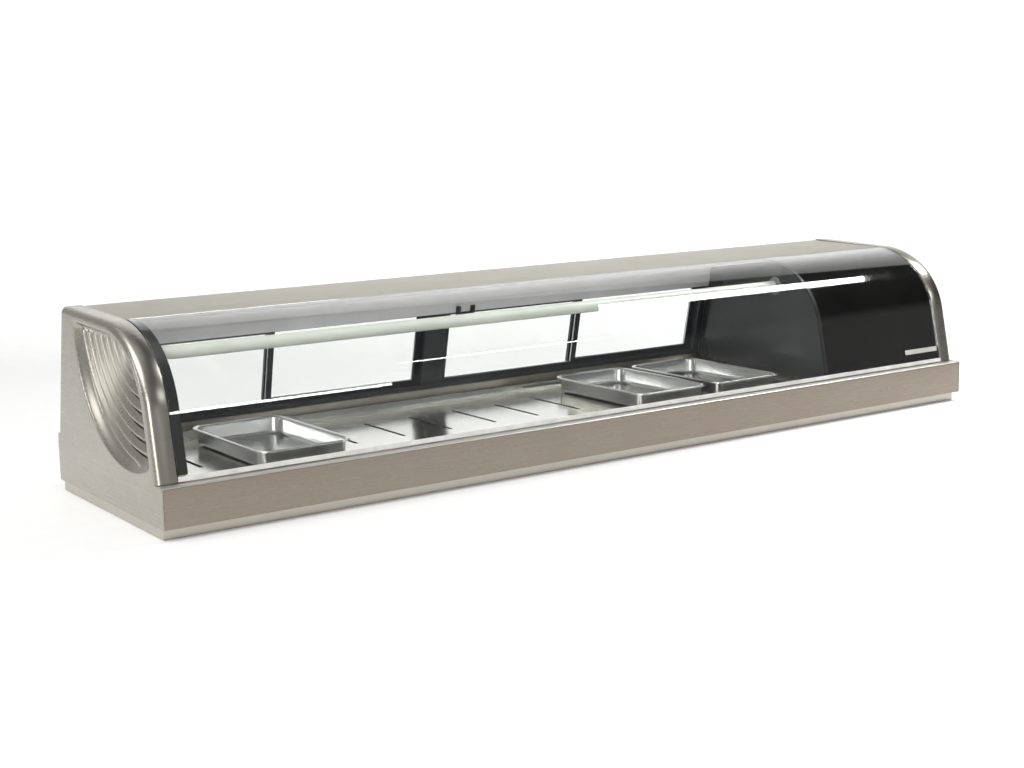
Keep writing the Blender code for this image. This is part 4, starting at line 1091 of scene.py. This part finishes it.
def switch_bezel():
    """A raised frame round the rocker."""
    across, up = Vector((1, 0, 0)), Vector((0, -math.sin(REAR_LEAN), math.cos(REAR_LEAN)))
    centre = rear_place(SWITCH_X, CONTROL_UP)
    rings = []
    shape = bmesh.new()
    for half_x, half_up, lift in (
        (0.0098, 0.0073, 0.0002),
        (0.0120, 0.0095, 0.0002),
        (0.0120, 0.0095, 0.0010),
        (0.0115, 0.0090, 0.0015),
        (0.0102, 0.0077, 0.0015),
        (0.0098, 0.0073, 0.0011),
    ):
        ring = []
        for x, z, _ in rounded_rectangle(half_x, half_up, 0.0014, 0.0, 4):
            ring.append(shape.verts.new(centre + across * x + up * z + REAR_NORMAL * lift))
        rings.append(ring)
    for one, two in zip(rings, rings[1:] + rings[:1]):
        for index in range(len(one)):
            after = (index + 1) % len(one)
            shape.faces.new((one[index], one[after], two[after], two[index]))
    settle(from_shape("switch_bezel", shape, BLACK_PLASTIC), "case", (), 30)


switch_bezel()


def gland():
    """The hexagon nut and the rubber cap of the mains lead's gland."""
    centre = rear_place(GLAND_X, GLAND_UP)
    nut = [(0.0061, 0.0006), (0.0100, 0.0006), (0.0104, 0.0010), (0.0104, 0.0026), (0.0098, 0.0031)]
    nut += [(0.0061, 0.0031), (0.0061, 0.0006)]
    hexagon = lathe("gland_nut", nut, centre, REAR_NORMAL, BLACK_PLASTIC, 6)
    settle(hexagon, "case", ["cable_gland"], 25)
    cap = [
        (0.0, 0.0036),
        (0.0038, 0.0036),
        (0.0040, 0.0060),
        (0.0044, 0.0066),
        (0.0066, 0.0068),
        (0.0076, 0.0062),
        (0.0080, 0.0050),
        (0.0080, 0.0024),
        (0.0059, 0.0024),
        (0.0059, -0.0070),
        (0.0, -0.0070),
    ]
    settle(lathe("gland_cap", cap, centre, REAR_NORMAL, RUBBER), "case", (), 40)


gland()

# ---------------------------------------------------------------- stage, camera and lights


def stage():
    """A pale floor that sweeps up behind the case."""
    shape = bmesh.new()
    towards = Vector((0.568, 0.823, 0))
    across = Vector((0.823, -0.568, 0))
    profile = [(-7.0, 0.0)]
    for step in range(17):
        angle = math.pi / 2 * step / 16
        profile.append((3.2 + 2.0 * math.sin(angle), 2.0 - 2.0 * math.cos(angle)))
    profile.append((5.2, 6.0))
    rows = []
    for distance, height in profile:
        row = []
        for reach in (-9.0, 9.0):
            place = towards * distance + across * reach
            row.append(shape.verts.new((place.x, place.y, height - 0.0003)))
        rows.append(row)
    for one, two in zip(rows, rows[1:]):
        shape.faces.new((one[0], one[1], two[1], two[0]))
    look = Look("stage_paper", Roughness=0.85)
    grain = look.noise(30.0, detail=3.0)
    tone = look.blend(look.remap(grain, 0.0, 1.0), (0.88, 0.88, 0.875), (0.90, 0.90, 0.895))
    floor = from_shape("stage_floor", shape, look.finish(tone))
    floor.data.shade_smooth()
    if floor.data.polygons[0].normal.z < 0:
        floor.data.flip_normals()


stage()

CAMERA = Vector((-1.5079, -2.0465, 0.5339))
AZIMUTH, ELEVATION, ROLL = map(math.radians, (-34.6, 9.0, -1.2))
FOCAL, CENTRE_X, CENTRE_Y = 1613.4, -6.1, -23.7


def camera():
    back = Vector(
        (
            math.sin(AZIMUTH) * math.cos(ELEVATION),
            -math.cos(AZIMUTH) * math.cos(ELEVATION),
            math.sin(ELEVATION),
        )
    )
    right = Vector((0, 0, 1)).cross(back).normalized()
    up = back.cross(right)
    turned_right = right * math.cos(ROLL) + up * math.sin(ROLL)
    turned_up = up * math.cos(ROLL) - right * math.sin(ROLL)
    data = bpy.data.cameras.new("camera")
    data.sensor_width = 36.0
    data.lens = FOCAL / 1024 * 36.0
    data.shift_x = -CENTRE_X / 1024
    data.shift_y = CENTRE_Y / 1024
    data.clip_end = 60
    eye = bpy.data.objects.new("camera", data)
    matrix = Matrix((turned_right, turned_up, back)).transposed().to_4x4()
    eye.matrix_world = Matrix.Translation(CAMERA) @ matrix
    bpy.context.scene.collection.objects.link(eye)
    bpy.context.scene.camera = eye


camera()


def area_light(name, place, target, width, height, power):
    data = bpy.data.lights.new(name, "AREA")
    data.shape = "RECTANGLE"
    data.size = width
    data.size_y = height
    data.energy = power
    lamp = bpy.data.objects.new(name, data)
    lamp.location = place
    lamp.rotation_euler = (Vector(target) - Vector(place)).to_track_quat("-Z", "Y").to_euler()
    lamp.visible_camera = False
    bpy.context.scene.collection.objects.link(lamp)
    return lamp


def strip_light(name, slope, low_x, high_x, reach, height, power, rise=0.0):
    """A long lamp along X, where the bent glass mirrors it to the main view at this slope.

    Rise is how far up the glass from the middle of that slope the lamp is mirrored.
    """
    profile = front_profile()
    best = None
    for (ay, az), (by, bz) in zip(profile, profile[1:]):
        here = math.degrees(math.atan2(bz - az, by - ay))
        gap = abs(here - slope)
        if best is None or gap < best[0]:
            best = (gap, (ay + by) / 2, (az + bz) / 2)
    angle = math.radians(slope)
    y, z = best[1] + rise * math.cos(angle), best[2] + rise * math.sin(angle)
    normal = Vector((0, -math.sin(angle), math.cos(angle)))
    point = Vector((0, y, z))
    seen = CAMERA - 2 * (CAMERA - point).dot(normal) * normal
    run = Vector((0, y - seen.y, z - seen.z))
    share = reach / run.length
    ends = [x + share * (x - seen.x) for x in (low_x, high_x)]
    place = Vector(((ends[0] + ends[1]) / 2, y + run.y * share, z + run.z * share))
    target = Vector((place.x, y, z))
    return area_light(name, place, target, ends[1] - ends[0], height, power)


strip_light("flat_strip", FLAT_LEAN, -0.74, -0.392, 1.6, 0.007, 0.37, 0.0535)
strip_light("upper_strip", 68.3, -0.37, 0.02, 1.6, 0.045, 3.4)
strip_light("bar_strip", 44.7, 0.0, 0.58, 1.3, 0.25, 23)
area_light("overhead", (-2.35, -0.6, 3.0), (-0.3, 0.0, 0.0), 3.4, 3.2, 85)
area_light("backdrop_light", (1.3, 1.5, 2.6), (2.9, 4.4, 1.3), 5.0, 1.2, 112)
area_light("front_fill", (-2.3, -2.6, 1.0), (-0.2, 0.0, 0.15), 1.2, 0.9, 25)
area_light("rib_light", (-2.95, 1.1, 0.62), (-0.75, -0.05, 0.17), 0.30, 0.7, 4)


def world():
    """Soft studio surroundings: pale on the left, a dark wall on the right, and a pale ceiling."""
    surroundings = bpy.data.worlds.new("studio")
    bpy.context.scene.world = surroundings
    surroundings.use_nodes = True
    tree = surroundings.node_tree
    background = tree.nodes["Background"]
    coords = tree.nodes.new("ShaderNodeTexCoord")
    split = tree.nodes.new("ShaderNodeSeparateXYZ")
    tree.links.new(coords.outputs["Generated"], split.inputs[0])
    mix = tree.nodes.new("ShaderNodeMix")
    mix.data_type = "RGBA"
    side = tree.nodes.new("ShaderNodeMapRange")
    side.interpolation_type = "SMOOTHSTEP"
    side.inputs["From Min"].default_value = 0.0
    side.inputs["From Max"].default_value = 0.55
    tree.links.new(split.outputs["X"], side.inputs["Value"])
    tree.links.new(side.outputs["Result"], mix.inputs[0])
    left = ((0.0, 0.45), (0.50, 0.40), (0.92, 0.8))
    right = ((0.0, 0.20), (0.18, 0.16), (0.32, 0.03), (0.85, 0.03), (0.97, 0.8))
    for socket, stops in ((mix.inputs[6], left), (mix.inputs[7], right)):
        ramp = tree.nodes.new("ShaderNodeValToRGB")
        tree.links.new(split.outputs["Z"], ramp.inputs["Fac"])
        elements = ramp.color_ramp.elements
        while len(elements) < len(stops):
            elements.new(0.5)
        for element, (place, value) in zip(elements, stops):
            element.position = place
            element.color = (value, value, value * 0.985, 1.0)
        tree.links.new(ramp.outputs["Color"], socket)
    tree.links.new(mix.outputs[2], background.inputs["Color"])
    background.inputs["Strength"].default_value = 1.0


world()
bpy.context.scene.view_settings.view_transform = "Standard"

# ---------------------------------------------------------------- done

bpy.context.view_layer.update()
